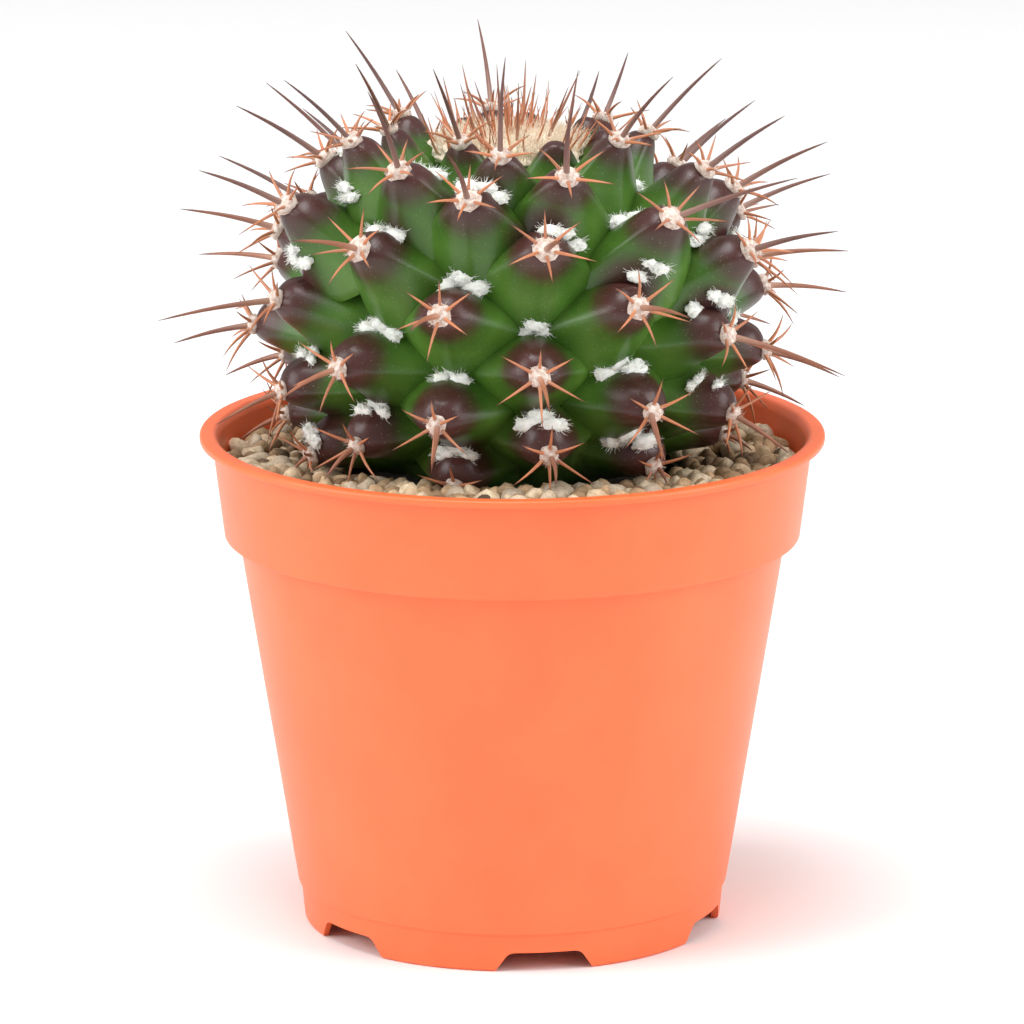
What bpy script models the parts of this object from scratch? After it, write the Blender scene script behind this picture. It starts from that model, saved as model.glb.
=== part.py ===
"""Potted round cactus: a plastic nursery pot, its soil and grit, and a spiny stem of spiralled tubercles.

Units are metres, +Z is up and the front faces -Y. The origin is the middle of the pot's footprint, on
the surface that the pot stands on. Angles around the plant are counted from the front towards +X.
"""

import math
import random

import bmesh
import bpy
from mathutils import Vector

OBJECT_NAME = "potted_round_cactus"
GAP = 0.0003

# The pot.
SIDES = 36
WALL = 0.0010
LIP_RADIUS = 0.0425
LIP_THICKNESS = 0.00105
POT_HEIGHT = 0.06815
BAND_TOP_RADIUS = 0.0408
BAND_FOOT_RADIUS = 0.0392
BAND_FOOT_Z = 0.0540
LEDGE_TOP_Z = BAND_FOOT_Z + 0.0005
LEDGE_FOOT_Z = BAND_FOOT_Z - 0.0010
BODY_TOP_RADIUS = 0.0373
BODY_FOOT_RADIUS = 0.0295
FOOT_LINE_Z = 0.0054
FOOT_TOP_RADIUS = 0.0291
FOOT_RADIUS = 0.0286
FOOT_STEP = 0.0002
FLOOR_Z = 0.0029
NOTCH_COUNT = 6
NOTCH_FIRST_ANGLE = math.radians(8.8)
NOTCH_HEIGHT = 0.0027
NOTCH_FOOT_ANGLE = math.radians(27.0)
NOTCH_TOP_ANGLE = math.radians(19.6)
NOTCH_CORNER = 0.0006
NOTCH_INNER_RADIUS = 0.0220
NOTCH_DEPTH = 0.0120
DRAIN_RADIUS = 0.0025
DRAIN_RING_RADIUS = 0.0205
DRAIN_SIDES = 12
DRAIN_CUTTER_LENGTH = 0.0060

# The bed that the plant stands in.
MIX_TOP_Z = 0.0605
GRIT_INNER_RADIUS = 0.0215
GRIT_INNER_Z = 0.0620
GRIT_LOW_RADIUS = 0.0270
GRIT_SLOPE_RADIUS = 0.0335
GRIT_TOP_Z = 0.0650
GRIT_DIP = 0.0007
ROOT_RADIUS = 0.0085
ROOT_FOOT_RADIUS = 0.0070
ROOT_FOOT_Z = 0.0505

# The spiral that the tubercles grow on. Each is numbered by its age from a mid-height one: negative
# numbers are younger, towards the crown, and positive ones older, towards the soil.
SPIRAL_START = math.radians(8.3)
SPIRAL_STEP = math.radians(311.75)
SPIRAL_DRIFT = math.radians(0.00888)
YOUNGEST_SPINED = -29
OLDEST_SPINED = 25
YOUNGEST_TUBERCLE = -31
OLDEST_TUBERCLE = 41
# Age, radius and height of the tubercle's tip, and how steeply it points up in degrees.
TIP_STATIONS = (
    (-44, 0.0015, 0.1086, 88.0),
    (-38, 0.0065, 0.1092, 82.0),
    (-32, 0.0125, 0.1100, 76.0),
    (-26, 0.0195, 0.1104, 68.0),
    (-21, 0.0260, 0.1106, 60.0),
    (-14, 0.0299, 0.1078, 52.0),
    (-7, 0.0325, 0.1040, 45.0),
    (0, 0.0340, 0.0986, 34.0),
    (8, 0.0348, 0.0916, 21.0),
    (15, 0.0348, 0.0846, 8.0),
    (23, 0.0343, 0.0777, -2.0),
    (30, 0.0312, 0.0718, -8.0),
    (38, 0.0275, 0.0674, -13.0),
    (44, 0.0245, 0.0645, -17.0),
)
# How far some tips stray from the spiral, in metres: to the right, up, and outwards, seen from outside.
TIP_STRAYS = {
    -24: (0.0000, -0.0010, -0.0040),
    -23: (-0.0015, 0.0012, 0.0000),
    -22: (0.0010, -0.0005, 0.0000),
    -16: (-0.0020, -0.0030, -0.0015),
    -14: (0.0020, 0.0010, 0.0000),
    -13: (0.0000, -0.0010, -0.0055),
    -9: (0.0000, -0.0035, -0.0040),
    -8: (0.0015, -0.0028, 0.0000),
    -7: (0.0015, 0.0022, 0.0000),
    -6: (0.0000, -0.0015, 0.0000),
    -1: (0.0025, -0.0036, 0.0000),
    0: (-0.0005, 0.0012, 0.0000),
    1: (0.0022, 0.0009, 0.0000),
    2: (0.0000, 0.0000, -0.0025),
    6: (0.0000, 0.0000, -0.0020),
    7: (-0.0020, -0.0010, 0.0000),
    8: (0.0010, -0.0006, 0.0000),
    9: (0.0005, -0.0014, -0.0006),
    15: (-0.0005, -0.0015, 0.0000),
    16: (0.0004, -0.0013, 0.0000),
    21: (0.0000, 0.0013, 0.0000),
    22: (0.0006, -0.0014, 0.0000),
    23: (0.0000, -0.0015, 0.0000),
    29: (0.0020, 0.0016, 0.0018),
    31: (-0.0015, 0.0000, 0.0000),
    37: (0.0030, 0.0000, 0.0000),
    38: (-0.0018, -0.0010, 0.0000),
    39: (-0.0010, 0.0010, 0.0030),
}
# The back of the crown falls away, from one angle to a second one, by a drop and an inset.
BACK_START = math.radians(80.0)
BACK_FULL = math.radians(110.0)
BACK_DROP = 0.0062
BACK_INSET = 0.0042
# It sets in over some ages after the youngest, and fades out over some ages before the oldest.
FALL_YOUNGEST = -28
FALL_SETS_IN = 8
FALL_OLDEST = 12
FALL_FADES_OUT = 22
CORE_FALL_WIDTH = 0.0050
CORE_FALL_FOOT_Z = 0.0925
CORE_FALL_HEIGHT = 0.0120
ROOT_DEPTH = 0.0130
# Sections of a full-grown tubercle from root to tip: depth behind the tip, half width, height above
# and below the middle, and the power of the outline, from 1, a diamond, to 2, an ellipse.
TUBERCLE_SECTIONS = (
    (0.0120, 0.0096, 0.0074, 0.0074, 1.5),
    (0.0062, 0.0065, 0.0050, 0.0044, 1.5),
    (0.0022, 0.0040, 0.0037, 0.0026, 1.8),
    (0.0000, 0.0015, 0.0015, 0.0013, 2.0),
)
SECTION_SIDES = 8
CORE_SIDES = 18
CORE_PROFILE = (
    (0.0000, 0.1035),
    (0.0176, 0.1046),
    (0.0254, 0.1012),
    (0.0280, 0.0945),
    (0.0284, 0.0850),
    (0.0274, 0.0770),
    (0.0242, 0.0690),
    (0.0180, 0.0630),
    (0.0110, 0.0600),
    (ROOT_RADIUS, 0.0585),
    (ROOT_FOOT_RADIUS, ROOT_FOOT_Z + 0.0010),
    (ROOT_FOOT_RADIUS - 0.0015, ROOT_FOOT_Z),
    (0.0000, ROOT_FOOT_Z),
)

# The wool in the middle of the crown, and the spines.
WOOL_RADIUS = 0.0105
WOOL_FOOT_Z = 0.1040
WOOL_TOP_Z = 0.1092
YOUNG_SPINES = 14
YOUNG_SPINE_WIDTH = 0.0004
YOUNG_SPINE_LENGTHS = (0.005, 0.009)
YOUNG_SPINE_LEANS = (0.1, 0.5)
YOUNG_SPINE_RING = 0.85 * WOOL_RADIUS
WOOL_LUMP = 0.94
AREOLE_RADIUS = 0.0018
AREOLE_HEIGHT = 0.0010
OLD_AREOLE_SCALE = 0.75
RADIAL_COUNT = 6
RADIAL_LENGTH = 0.0068
RADIAL_WIDTH = 0.00042
RADIAL_SPREAD = math.radians(70.0)
RADIAL_TWIST = math.radians(30.0)
TWIST_TURNS = (0, 5, -5, 10, -10, 15, -15, 20, -20, 25, -25, 30)
SPREAD_VARIATION = 0.08
LENGTH_VARIATION = 0.15
SHORTEST_RADIAL = 0.0020
UPPER_RADIAL_SCALE = 0.7
SPINE_ROOM = 0.0010
SPINE_REACH = 0.0340
CENTRAL_LENGTH = 0.0135
OLD_CENTRAL_LENGTH = 0.0095
CENTRAL_WIDTH = 0.00055
CENTRAL_BOW = 0.0004
BOW_PLACE = 0.55
BOW_WIDTH = 0.6
LEAST_INSET = 0.1
CENTRAL_DROOP = -20.0
# Central spines that lean out of line: degrees to the right, degrees up, and length.
CENTRAL_LEANS = {
    -28: (40, -15, 0.0160),
    -26: (0, -30, 0.0160),
    -25: (25, -36, 0.0140),
    -22: (5, 8, 0.0145),
    -15: (-5, 2, 0.0130),
    -14: (10, -3, 0.0160),
    -8: (50, -19, 0.0170),
    -7: (0, -9, 0.0130),
    9: (-5, -26, 0.0160),
    14: (30, -31, 0.0160),
    22: (-25, -19, 0.0130),
    23: (15, -13, 0.0120),
}


def principled(name, colour, roughness):
    """A plain plastic, soil or plant material."""
    material = bpy.data.materials.new(name)
    material.use_nodes = True
    shader = material.node_tree.nodes["Principled BSDF"]
    shader.inputs["Base Color"].default_value = (*colour, 1.0)
    shader.inputs["Roughness"].default_value = roughness
    shader.inputs["Metallic"].default_value = 0.0
    return material


def clear_scene():
    for item in list(bpy.data.objects):
        bpy.data.objects.remove(item, do_unlink=True)


def new_collection(name, helper=False):
    collection = bpy.data.collections.new(name)
    collection.hide_render = helper
    bpy.context.scene.collection.children.link(collection)
    return collection


def add_object(name, mesh, collection, material=None):
    item = bpy.data.objects.new(name, mesh)
    collection.objects.link(item)
    if material:
        mesh.materials.append(material)
    return item


def mesh_from(bm, name):
    """A mesh that is shaded smooth except at its sharp edges."""
    mesh = bpy.data.meshes.new(name)
    bm.to_mesh(mesh)
    bm.free()
    mesh.shade_smooth()
    mesh.set_sharp_from_angle(angle=math.radians(35))
    return mesh


def as_helper(item):
    item.hide_render = True
    item.display_type = "WIRE"
    return item


def turned(name, profile, collection, material=None, closed=False):
    """A solid of revolution. The profile runs down its outer side, as (radius, height) points."""
    mesh = bpy.data.meshes.new(name)
    edges = [(i, i + 1) for i in range(len(profile) - 1)]
    if closed:
        edges.append((len(profile) - 1, 0))
    mesh.from_pydata([(radius, 0.0, height) for radius, height in profile], edges, [])
    item = add_object(name, mesh, collection, material)
    screw = item.modifiers.new("turn", "SCREW")
    screw.steps = SIDES
    screw.render_steps = SIDES
    screw.use_merge_vertices = True
    screw.merge_threshold = 0.00001
    screw.use_smooth_shade = True
    return item


def combine(item, operation, collection, solver="EXACT"):
    """Joins the shapes of a collection to this object, or cuts them from it."""
    boolean = item.modifiers.new(operation.lower(), "BOOLEAN")
    boolean.operation = operation
    boolean.solver = solver
    boolean.operand_type = "COLLECTION"
    boolean.collection = collection


def around(radius, angle, height):
    """The point at this radius and height, at an angle counted from the front towards +X."""
    return Vector((radius * math.sin(angle), -radius * math.cos(angle), height))


# The pot and what fills it.


def body_radius(height):
    """Outer radius of the tapering body below the band."""
    share = (height - FOOT_LINE_Z) / (BAND_FOOT_Z - FOOT_LINE_Z)
    return BODY_FOOT_RADIUS + share * (BODY_TOP_RADIUS - BODY_FOOT_RADIUS)


def band_radius(height):
    """Outer radius of the band between the step and the lip."""
    share = (height - BAND_FOOT_Z) / (POT_HEIGHT - LIP_THICKNESS - BAND_FOOT_Z)
    return BAND_FOOT_RADIUS + share * (BAND_TOP_RADIUS - BAND_FOOT_RADIUS)


def pot_profile():
    """Half section, from the middle of the floor, up the inside, over the lip and down the outside."""
    lip_under = POT_HEIGHT - LIP_THICKNESS
    inner_floor = FLOOR_Z + WALL
    inside = [
        (0.0, inner_floor),
        (body_radius(inner_floor) - 2 * WALL, inner_floor),
        (body_radius(inner_floor + WALL) - WALL, inner_floor + WALL),
        (body_radius(LEDGE_FOOT_Z) - WALL, LEDGE_FOOT_Z),
        (band_radius(LEDGE_TOP_Z) - WALL, LEDGE_TOP_Z),
        (band_radius(lip_under) - WALL, lip_under),
    ]
    lip = [
        (BAND_TOP_RADIUS - WALL / 2, POT_HEIGHT),
        (LIP_RADIUS, POT_HEIGHT),
        (LIP_RADIUS, lip_under),
        (BAND_TOP_RADIUS, lip_under),
    ]
    outside = [
        (BAND_FOOT_RADIUS, BAND_FOOT_Z),
        (BODY_TOP_RADIUS, BAND_FOOT_Z),
        (BODY_FOOT_RADIUS, FOOT_LINE_Z),
        (FOOT_TOP_RADIUS, FOOT_LINE_Z - FOOT_STEP),
        (FOOT_RADIUS, 0.0),
    ]
    underside = [
        (FOOT_RADIUS - WALL, 0.0),
        (FOOT_TOP_RADIUS - 1.2 * WALL, FLOOR_Z),
        (0.0, FLOOR_Z),
    ]
    return inside + lip + outside + underside


def notch_cutter(angle, collection):
    """A bar with a trapezoid section that cuts one notch through the foot ring."""
    foot_half = FOOT_RADIUS * math.sin(NOTCH_FOOT_ANGLE / 2)
    top_half = FOOT_RADIUS * math.sin(NOTCH_TOP_ANGLE / 2)
    corner = NOTCH_CORNER
    slope = (foot_half - top_half) / NOTCH_HEIGHT
    below = NOTCH_HEIGHT
    outline = (
        (-foot_half - slope * below, -below),
        (foot_half + slope * below, -below),
        (top_half + slope * corner, NOTCH_HEIGHT - corner),
        (top_half - corner, NOTCH_HEIGHT),
        (corner - top_half, NOTCH_HEIGHT),
        (-top_half - slope * corner, NOTCH_HEIGHT - corner),
    )
    bm = bmesh.new()
    front = around(1.0, angle, 0.0)
    side = around(1.0, angle + math.pi / 2, 0.0)
    foot = front * NOTCH_INNER_RADIUS
    ring = [bm.verts.new(foot + side * across + Vector((0, 0, up))) for across, up in outline]
    face = bm.faces.new(ring)
    grown = bmesh.ops.extrude_face_region(bm, geom=[face])
    moved = [part for part in grown["geom"] if isinstance(part, bmesh.types.BMVert)]
    bmesh.ops.translate(bm, verts=moved, vec=front * NOTCH_DEPTH)
    bmesh.ops.recalc_face_normals(bm, faces=bm.faces)
    return as_helper(add_object("notch_cutter", mesh_from(bm, "notch_cutter"), collection))


def drain_cutter(angle, collection):
    """A rod that drills one drain hole through the floor."""
    bm = bmesh.new()
    bmesh.ops.create_cone(
        bm,
        cap_ends=True,
        segments=DRAIN_SIDES,
        radius1=DRAIN_RADIUS,
        radius2=DRAIN_RADIUS,
        depth=DRAIN_CUTTER_LENGTH,
    )
    bmesh.ops.translate(bm, verts=bm.verts, vec=around(DRAIN_RING_RADIUS, angle, FLOOR_Z + WALL / 2))
    return as_helper(add_object("drain_cutter", mesh_from(bm, "drain_cutter"), collection))


def make_pot(collection, material):
    pot = turned("pot", pot_profile(), collection, material)
    openings = new_collection("pot_cutters", helper=True)
    for index in range(NOTCH_COUNT):
        angle = NOTCH_FIRST_ANGLE + index * math.tau / NOTCH_COUNT
        notch_cutter(angle, openings)
        drain_cutter(angle, openings)
    combine(pot, "DIFFERENCE", openings, solver="MANIFOLD")
    return pot


def make_potting_mix(collection, material):
    """Soil that fills the pot up to the grit, with a socket for the root crown."""
    fit = WALL + GAP
    floor = FLOOR_Z + WALL + GAP
    profile = (
        (0.0, ROOT_FOOT_Z - GAP),
        (ROOT_FOOT_RADIUS + GAP, ROOT_FOOT_Z - GAP),
        (ROOT_FOOT_RADIUS + 2 * GAP, ROOT_FOOT_Z + 0.0010),
        (ROOT_RADIUS + 2 * GAP, MIX_TOP_Z),
        (band_radius(MIX_TOP_Z) - fit, MIX_TOP_Z),
        (band_radius(LEDGE_TOP_Z) - fit, LEDGE_TOP_Z + 2 * GAP),
        (body_radius(LEDGE_FOOT_Z) - fit, LEDGE_FOOT_Z + 2 * GAP),
        (body_radius(floor + WALL) - fit - GAP, floor + WALL),
        (body_radius(floor) - 2.5 * WALL, floor),
        (0.0, floor),
    )
    return turned("potting_mix", profile, collection, material)


def grit_height(radius):
    """Height of the grit's smooth top, which dips under the plant."""
    share = (radius - GRIT_INNER_RADIUS) / (GRIT_SLOPE_RADIUS - GRIT_INNER_RADIUS)
    return GRIT_INNER_Z + min(max(share, 0.0), 1.0) * (GRIT_TOP_Z - GRIT_INNER_Z)


def make_grit(collection, material):
    """The layer of gravel: a ring with an uneven top."""
    chance = random.Random(3)
    foot = MIX_TOP_Z + GAP
    outer = band_radius(GRIT_TOP_Z) - WALL - GAP
    flat = [GRIT_SLOPE_RADIUS + share * (outer - GRIT_SLOPE_RADIUS) for share in (0.0, 0.33, 0.67, 1.0)]
    profile = [(GRIT_INNER_RADIUS, foot)]
    profile += [(radius, grit_height(radius)) for radius in [GRIT_INNER_RADIUS, GRIT_LOW_RADIUS] + flat]
    profile += [(band_radius(foot) - WALL - GAP, foot)]
    bm = bmesh.new()
    rings = []
    for index in range(SIDES):
        angle = index * math.tau / SIDES
        rings.append([bm.verts.new(around(radius, angle, height)) for radius, height in profile])
        for vertex in rings[-1][1:-1]:
            vertex.co.z -= chance.uniform(0.0, GRIT_DIP)
    for ring, following in zip(rings, rings[1:] + rings[:1]):
        for place in range(len(profile)):
            beyond = (place + 1) % len(profile)
            bm.faces.new((ring[place], ring[beyond], following[beyond], following[place]))
    bmesh.ops.recalc_face_normals(bm, faces=bm.faces)
    return add_object("grit_top_dressing", mesh_from(bm, "grit_top_dressing"), collection, material)


# The stem.


def station(age):
    """Radius, height and upward angle of the tip of the tubercle of this age."""
    for younger, older in zip(TIP_STATIONS, TIP_STATIONS[1:]):
        if age <= older[0]:
            break
    share = (age - younger[0]) / (older[0] - younger[0])
    radius, height, rise = (a + share * (b - a) for a, b in zip(younger[1:], older[1:]))
    return radius, height, math.radians(rise)


def spiral_angle(age):
    return SPIRAL_START + SPIRAL_STEP * age + SPIRAL_DRIFT * age * age


def growth(age):
    """Size of a tubercle of this age against a full-grown one."""
    return min(1.0, max(0.3, 1.0 + (age + 10) * 0.021))


def clamped(value):
    return min(max(value, 0.0), 1.0)


def backwards(angle):
    """How much of the back's falling away this angle has, from 0 to 1."""
    return clamped((abs(math.remainder(angle, math.tau)) - BACK_START) / (BACK_FULL - BACK_START))


def tubercle_frame(age):
    """Tip, outward axis, rightward and upward directions of the tubercle of this age."""
    radius, height, rise = station(age)
    angle = spiral_angle(age)
    fall = backwards(angle) * clamped((age - FALL_YOUNGEST) / FALL_SETS_IN)
    fall *= clamped((FALL_OLDEST - age) / FALL_FADES_OUT)
    radius -= BACK_INSET * fall
    height -= BACK_DROP * fall
    axis = around(math.cos(rise), angle, math.sin(rise))
    right = Vector((math.cos(angle), math.sin(angle), 0.0))
    up = axis.cross(right)
    across, along, outward = TIP_STRAYS.get(age, (0.0, 0.0, 0.0))
    return around(radius + outward, angle, height) + across * right + along * up, axis, right, up


def section_ring(bm, centre, right, up, half_width, above, below, power):
    """One closed outline around the centre: a diamond at power 1, an ellipse at 2."""
    ring = []
    for index in range(SECTION_SIDES):
        turn = index * math.tau / SECTION_SIDES
        across, along = math.cos(turn), math.sin(turn)
        reach = (abs(across) ** power + abs(along) ** power) ** (-1.0 / power)
        height = above if along > 0.0 else below
        ring.append(bm.verts.new(centre + right * across * reach * half_width + up * along * reach * height))
    return ring


def tubercle(age, collection):
    """One tubercle, as a loft from a diamond root deep in the core to a blunt tip, fuller on top."""
    tip, axis, right, up = tubercle_frame(age)
    size = growth(age)
    bm = bmesh.new()
    rings = []
    for depth, *outline, power in TUBERCLE_SECTIONS:
        half_width, above, below = (size * value for value in outline)
        if not rings:
            rings.append(section_ring(bm, tip - axis * ROOT_DEPTH, right, up, half_width, above, below, power))
        centre = tip - axis * depth * size
        rings.append(section_ring(bm, centre, right, up, half_width, above, below, power))
    for ring, following in zip(rings, rings[1:]):
        for index in range(SECTION_SIDES):
            after = (index + 1) % SECTION_SIDES
            bm.faces.new((ring[index], ring[after], following[after], following[index]))
    bm.faces.new(reversed(rings[0]))
    bm.faces.new(rings[-1])
    return as_helper(add_object("tubercle", mesh_from(bm, "tubercle"), collection))


def core_mesh():
    """The body under the tubercles, turned around the middle but falling away at the crown's back."""
    bm = bmesh.new()
    rings = []
    for radius, height in CORE_PROFILE[1:-1]:
        ring = []
        for index in range(CORE_SIDES):
            angle = index * math.tau / CORE_SIDES
            fall = backwards(angle) * clamped((radius - WOOL_RADIUS) / CORE_FALL_WIDTH)
            fall *= clamped((height - CORE_FALL_FOOT_Z) / CORE_FALL_HEIGHT)
            ring.append(bm.verts.new(around(radius - BACK_INSET * fall, angle, height - BACK_DROP * fall)))
        rings.append(ring)
    for ring, following in zip(rings, rings[1:]):
        for index in range(CORE_SIDES):
            after = (index + 1) % CORE_SIDES
            bm.faces.new((ring[index], following[index], following[after], ring[after]))
    for ring, (_, height) in ((rings[0], CORE_PROFILE[0]), (rings[-1], CORE_PROFILE[-1])):
        middle = bm.verts.new((0.0, 0.0, height))
        for index in range(CORE_SIDES):
            bm.faces.new((middle, ring[index], ring[(index + 1) % CORE_SIDES]))
    bmesh.ops.recalc_face_normals(bm, faces=bm.faces)
    return mesh_from(bm, "cactus_stem")


def bed_cutter(collection):
    """The room that soil and grit take below the stem, with their gap."""
    soil = MIX_TOP_Z + GAP
    profile = (
        (ROOT_RADIUS + GAP, ROOT_FOOT_Z - 2 * WALL),
        (ROOT_RADIUS + GAP, soil),
        (GRIT_INNER_RADIUS - GAP, soil),
        (GRIT_INNER_RADIUS - GAP, GRIT_INNER_Z + GAP),
        (GRIT_SLOPE_RADIUS, GRIT_TOP_Z + GAP),
        (LIP_RADIUS, GRIT_TOP_Z + GAP),
        (LIP_RADIUS, ROOT_FOOT_Z - 2 * WALL),
    )
    return as_helper(turned("bed_cutter", profile, collection, closed=True))


def crown_cutter(collection):
    """The hollow in the middle of the crown that the wool fills."""
    profile = (
        (0.0, 2 * POT_HEIGHT),
        (WOOL_RADIUS + GAP, 2 * POT_HEIGHT),
        (WOOL_RADIUS + GAP, WOOL_FOOT_Z - GAP),
        (0.0, WOOL_FOOT_Z - GAP),
    )
    return as_helper(turned("crown_cutter", profile, collection))


def make_stem(collection, material):
    """Core and tubercles grown into one solid, seated in its bed."""
    stem = add_object("cactus_stem", core_mesh(), collection, material)
    tubercles = new_collection("tubercle_shapes", helper=True)
    for age in range(YOUNGEST_TUBERCLE, OLDEST_TUBERCLE + 1):
        tubercle(age, tubercles)
    combine(stem, "UNION", tubercles, solver="MANIFOLD")
    hollows = new_collection("stem_cutters", helper=True)
    bed_cutter(hollows)
    crown_cutter(hollows)
    combine(stem, "DIFFERENCE", hollows, solver="MANIFOLD")
    return stem


# The spines.


def segment_gap(first, second):
    """Shortest distance between two segments, each a (start, end) pair."""
    d1, d2, offset = first[1] - first[0], second[1] - second[0], first[0] - second[0]
    a, e, f = d1.dot(d1), d2.dot(d2), d2.dot(offset)
    b, c = d1.dot(d2), d1.dot(offset)
    spread = a * e - b * b
    s = min(max((b * f - c * e) / spread, 0.0), 1.0) if spread > 1e-18 else 0.0
    t = (b * s + f) / e
    if t < 0.0 or t > 1.0:
        t = min(max(t, 0.0), 1.0)
        s = min(max((b * t - c) / a, 0.0), 1.0)
    return (first[0] + d1 * s - second[0] - d2 * t).length


def clears_the_bed(tip):
    """Whether a spine's tip stays off the grit and the pot's lip."""
    radius = math.hypot(tip.x, tip.y)
    if radius > BAND_TOP_RADIUS - 3 * WALL:
        return tip.z > POT_HEIGHT + WALL
    return tip.z > GRIT_TOP_Z + WALL


def spine_room(spines, placed):
    """Smallest distance from these spines to those already placed nearby."""
    room = 1.0
    for spine in spines:
        for other in placed:
            if (spine[0] - other[0]).length < SPINE_REACH:
                room = min(room, segment_gap(spine, other))
    return room


def central_spine(age, frame, foot):
    """The long spine in the middle of an areole, which droops a little below the tubercle's axis."""
    ageing = min(max(age / OLDEST_SPINED, 0.0), 1.0)
    length = CENTRAL_LENGTH + ageing * (OLD_CENTRAL_LENGTH - CENTRAL_LENGTH)
    side, lift, length = CENTRAL_LEANS.get(age, (0, CENTRAL_DROOP, length))
    _, axis, right, up = frame
    heading = axis + right * math.tan(math.radians(side)) + up * math.tan(math.radians(lift))
    return foot, foot + heading.normalized() * length


def radial_spines(age, frame, foot, twist):
    """The ring of shorter spines around the central one, shortest at the top."""
    chance = random.Random(100 + age)
    _, axis, right, up = frame
    spines = []
    for index in range(RADIAL_COUNT):
        turn = twist + index * math.tau / RADIAL_COUNT
        spread = RADIAL_SPREAD + chance.uniform(-SPREAD_VARIATION, SPREAD_VARIATION)
        outwards = right * math.cos(turn) + up * math.sin(turn)
        heading = axis * math.cos(spread) + outwards * math.sin(spread)
        length = RADIAL_LENGTH * growth(age) ** 0.3
        length *= chance.uniform(1.0 - LENGTH_VARIATION, 1.0 + LENGTH_VARIATION)
        length *= 1.0 - (1.0 - UPPER_RADIAL_SCALE) * max(0.0, math.sin(turn))
        tip = foot + heading * length
        while not clears_the_bed(tip) and length > SHORTEST_RADIAL:
            length *= 1.0 - LENGTH_VARIATION
            tip = foot + heading * length
        spines.append((foot, tip))
    return spines


def place_spines(age, placed):
    """This areole's twist and spines, turned no more than it takes to clear the spines already placed."""
    frame = tubercle_frame(age)
    foot = frame[0] + frame[1] * (GAP + AREOLE_HEIGHT / 2)
    central = central_spine(age, frame, foot)
    choices = []
    for turn in TWIST_TURNS:
        twist = RADIAL_TWIST + math.radians(turn)
        radials = radial_spines(age, frame, foot, twist)
        choices.append((min(spine_room(radials, placed), SPINE_ROOM), twist, radials))
    _, twist, radials = max(choices, key=lambda choice: choice[0])
    return frame, twist, central, radials


def grow_spine(bm, face, tip, width, bend=0.0):
    """Draws one face of the mesh out into a spine that ends in a point."""
    sides = len(face.verts)
    reach = max((vertex.co - face.calc_center_median()).length for vertex in face.verts)
    centre = face.calc_center_median()
    thickness = max(reach - width, reach * LEAST_INSET) * math.cos(math.pi / sides)
    bmesh.ops.inset_individual(bm, faces=[face], thickness=thickness, use_even_offset=True)
    if bend:
        grown = bmesh.ops.extrude_discrete_faces(bm, faces=[face])
        face = grown["faces"][0]
        middle = centre.lerp(tip, BOW_PLACE) + Vector((0.0, 0.0, bend))
        here = face.calc_center_median()
        for vertex in face.verts:
            vertex.co = middle + (vertex.co - here) * BOW_WIDTH
    poked = bmesh.ops.poke(bm, faces=[face])
    poked["verts"][0].co = tip


def areole_cluster(name, age, frame, twist, central, radials, collection, material):
    """A woolly pad with its radial and central spines drawn out of its faces, as one solid."""
    tip, axis, right, up = frame
    ageing = min(max(age / OLDEST_SPINED, 0.0), 1.0)
    radius = AREOLE_RADIUS * (1.0 - ageing * (1.0 - OLD_AREOLE_SCALE)) * growth(age) ** 0.4
    levels = ((1.0, 0.0), (1.1, 0.4), (0.5, 1.0))
    bm = bmesh.new()
    rings = []
    for share, rise in levels:
        ring = []
        for index in range(RADIAL_COUNT):
            turn = twist + (index - 0.5) * math.tau / RADIAL_COUNT
            offset = (right * math.cos(turn) + up * math.sin(turn)) * radius * share
            ring.append(bm.verts.new(tip + axis * (GAP + rise * AREOLE_HEIGHT) + offset))
        rings.append(ring)
    bm.faces.new(reversed(rings[0]))
    crown = bm.faces.new(rings[-1])
    flanks = []
    for ring, following in zip(rings, rings[1:]):
        flanks = []
        for index in range(RADIAL_COUNT):
            after = (index + 1) % RADIAL_COUNT
            flanks.append(bm.faces.new((ring[index], ring[after], following[after], following[index])))
    bm.normal_update()
    for face, spine in zip(flanks, radials):
        grow_spine(bm, face, spine[1], RADIAL_WIDTH)
    grow_spine(bm, crown, central[1], CENTRAL_WIDTH, bend=CENTRAL_BOW)
    return add_object(name, mesh_from(bm, name), collection, material)


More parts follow.
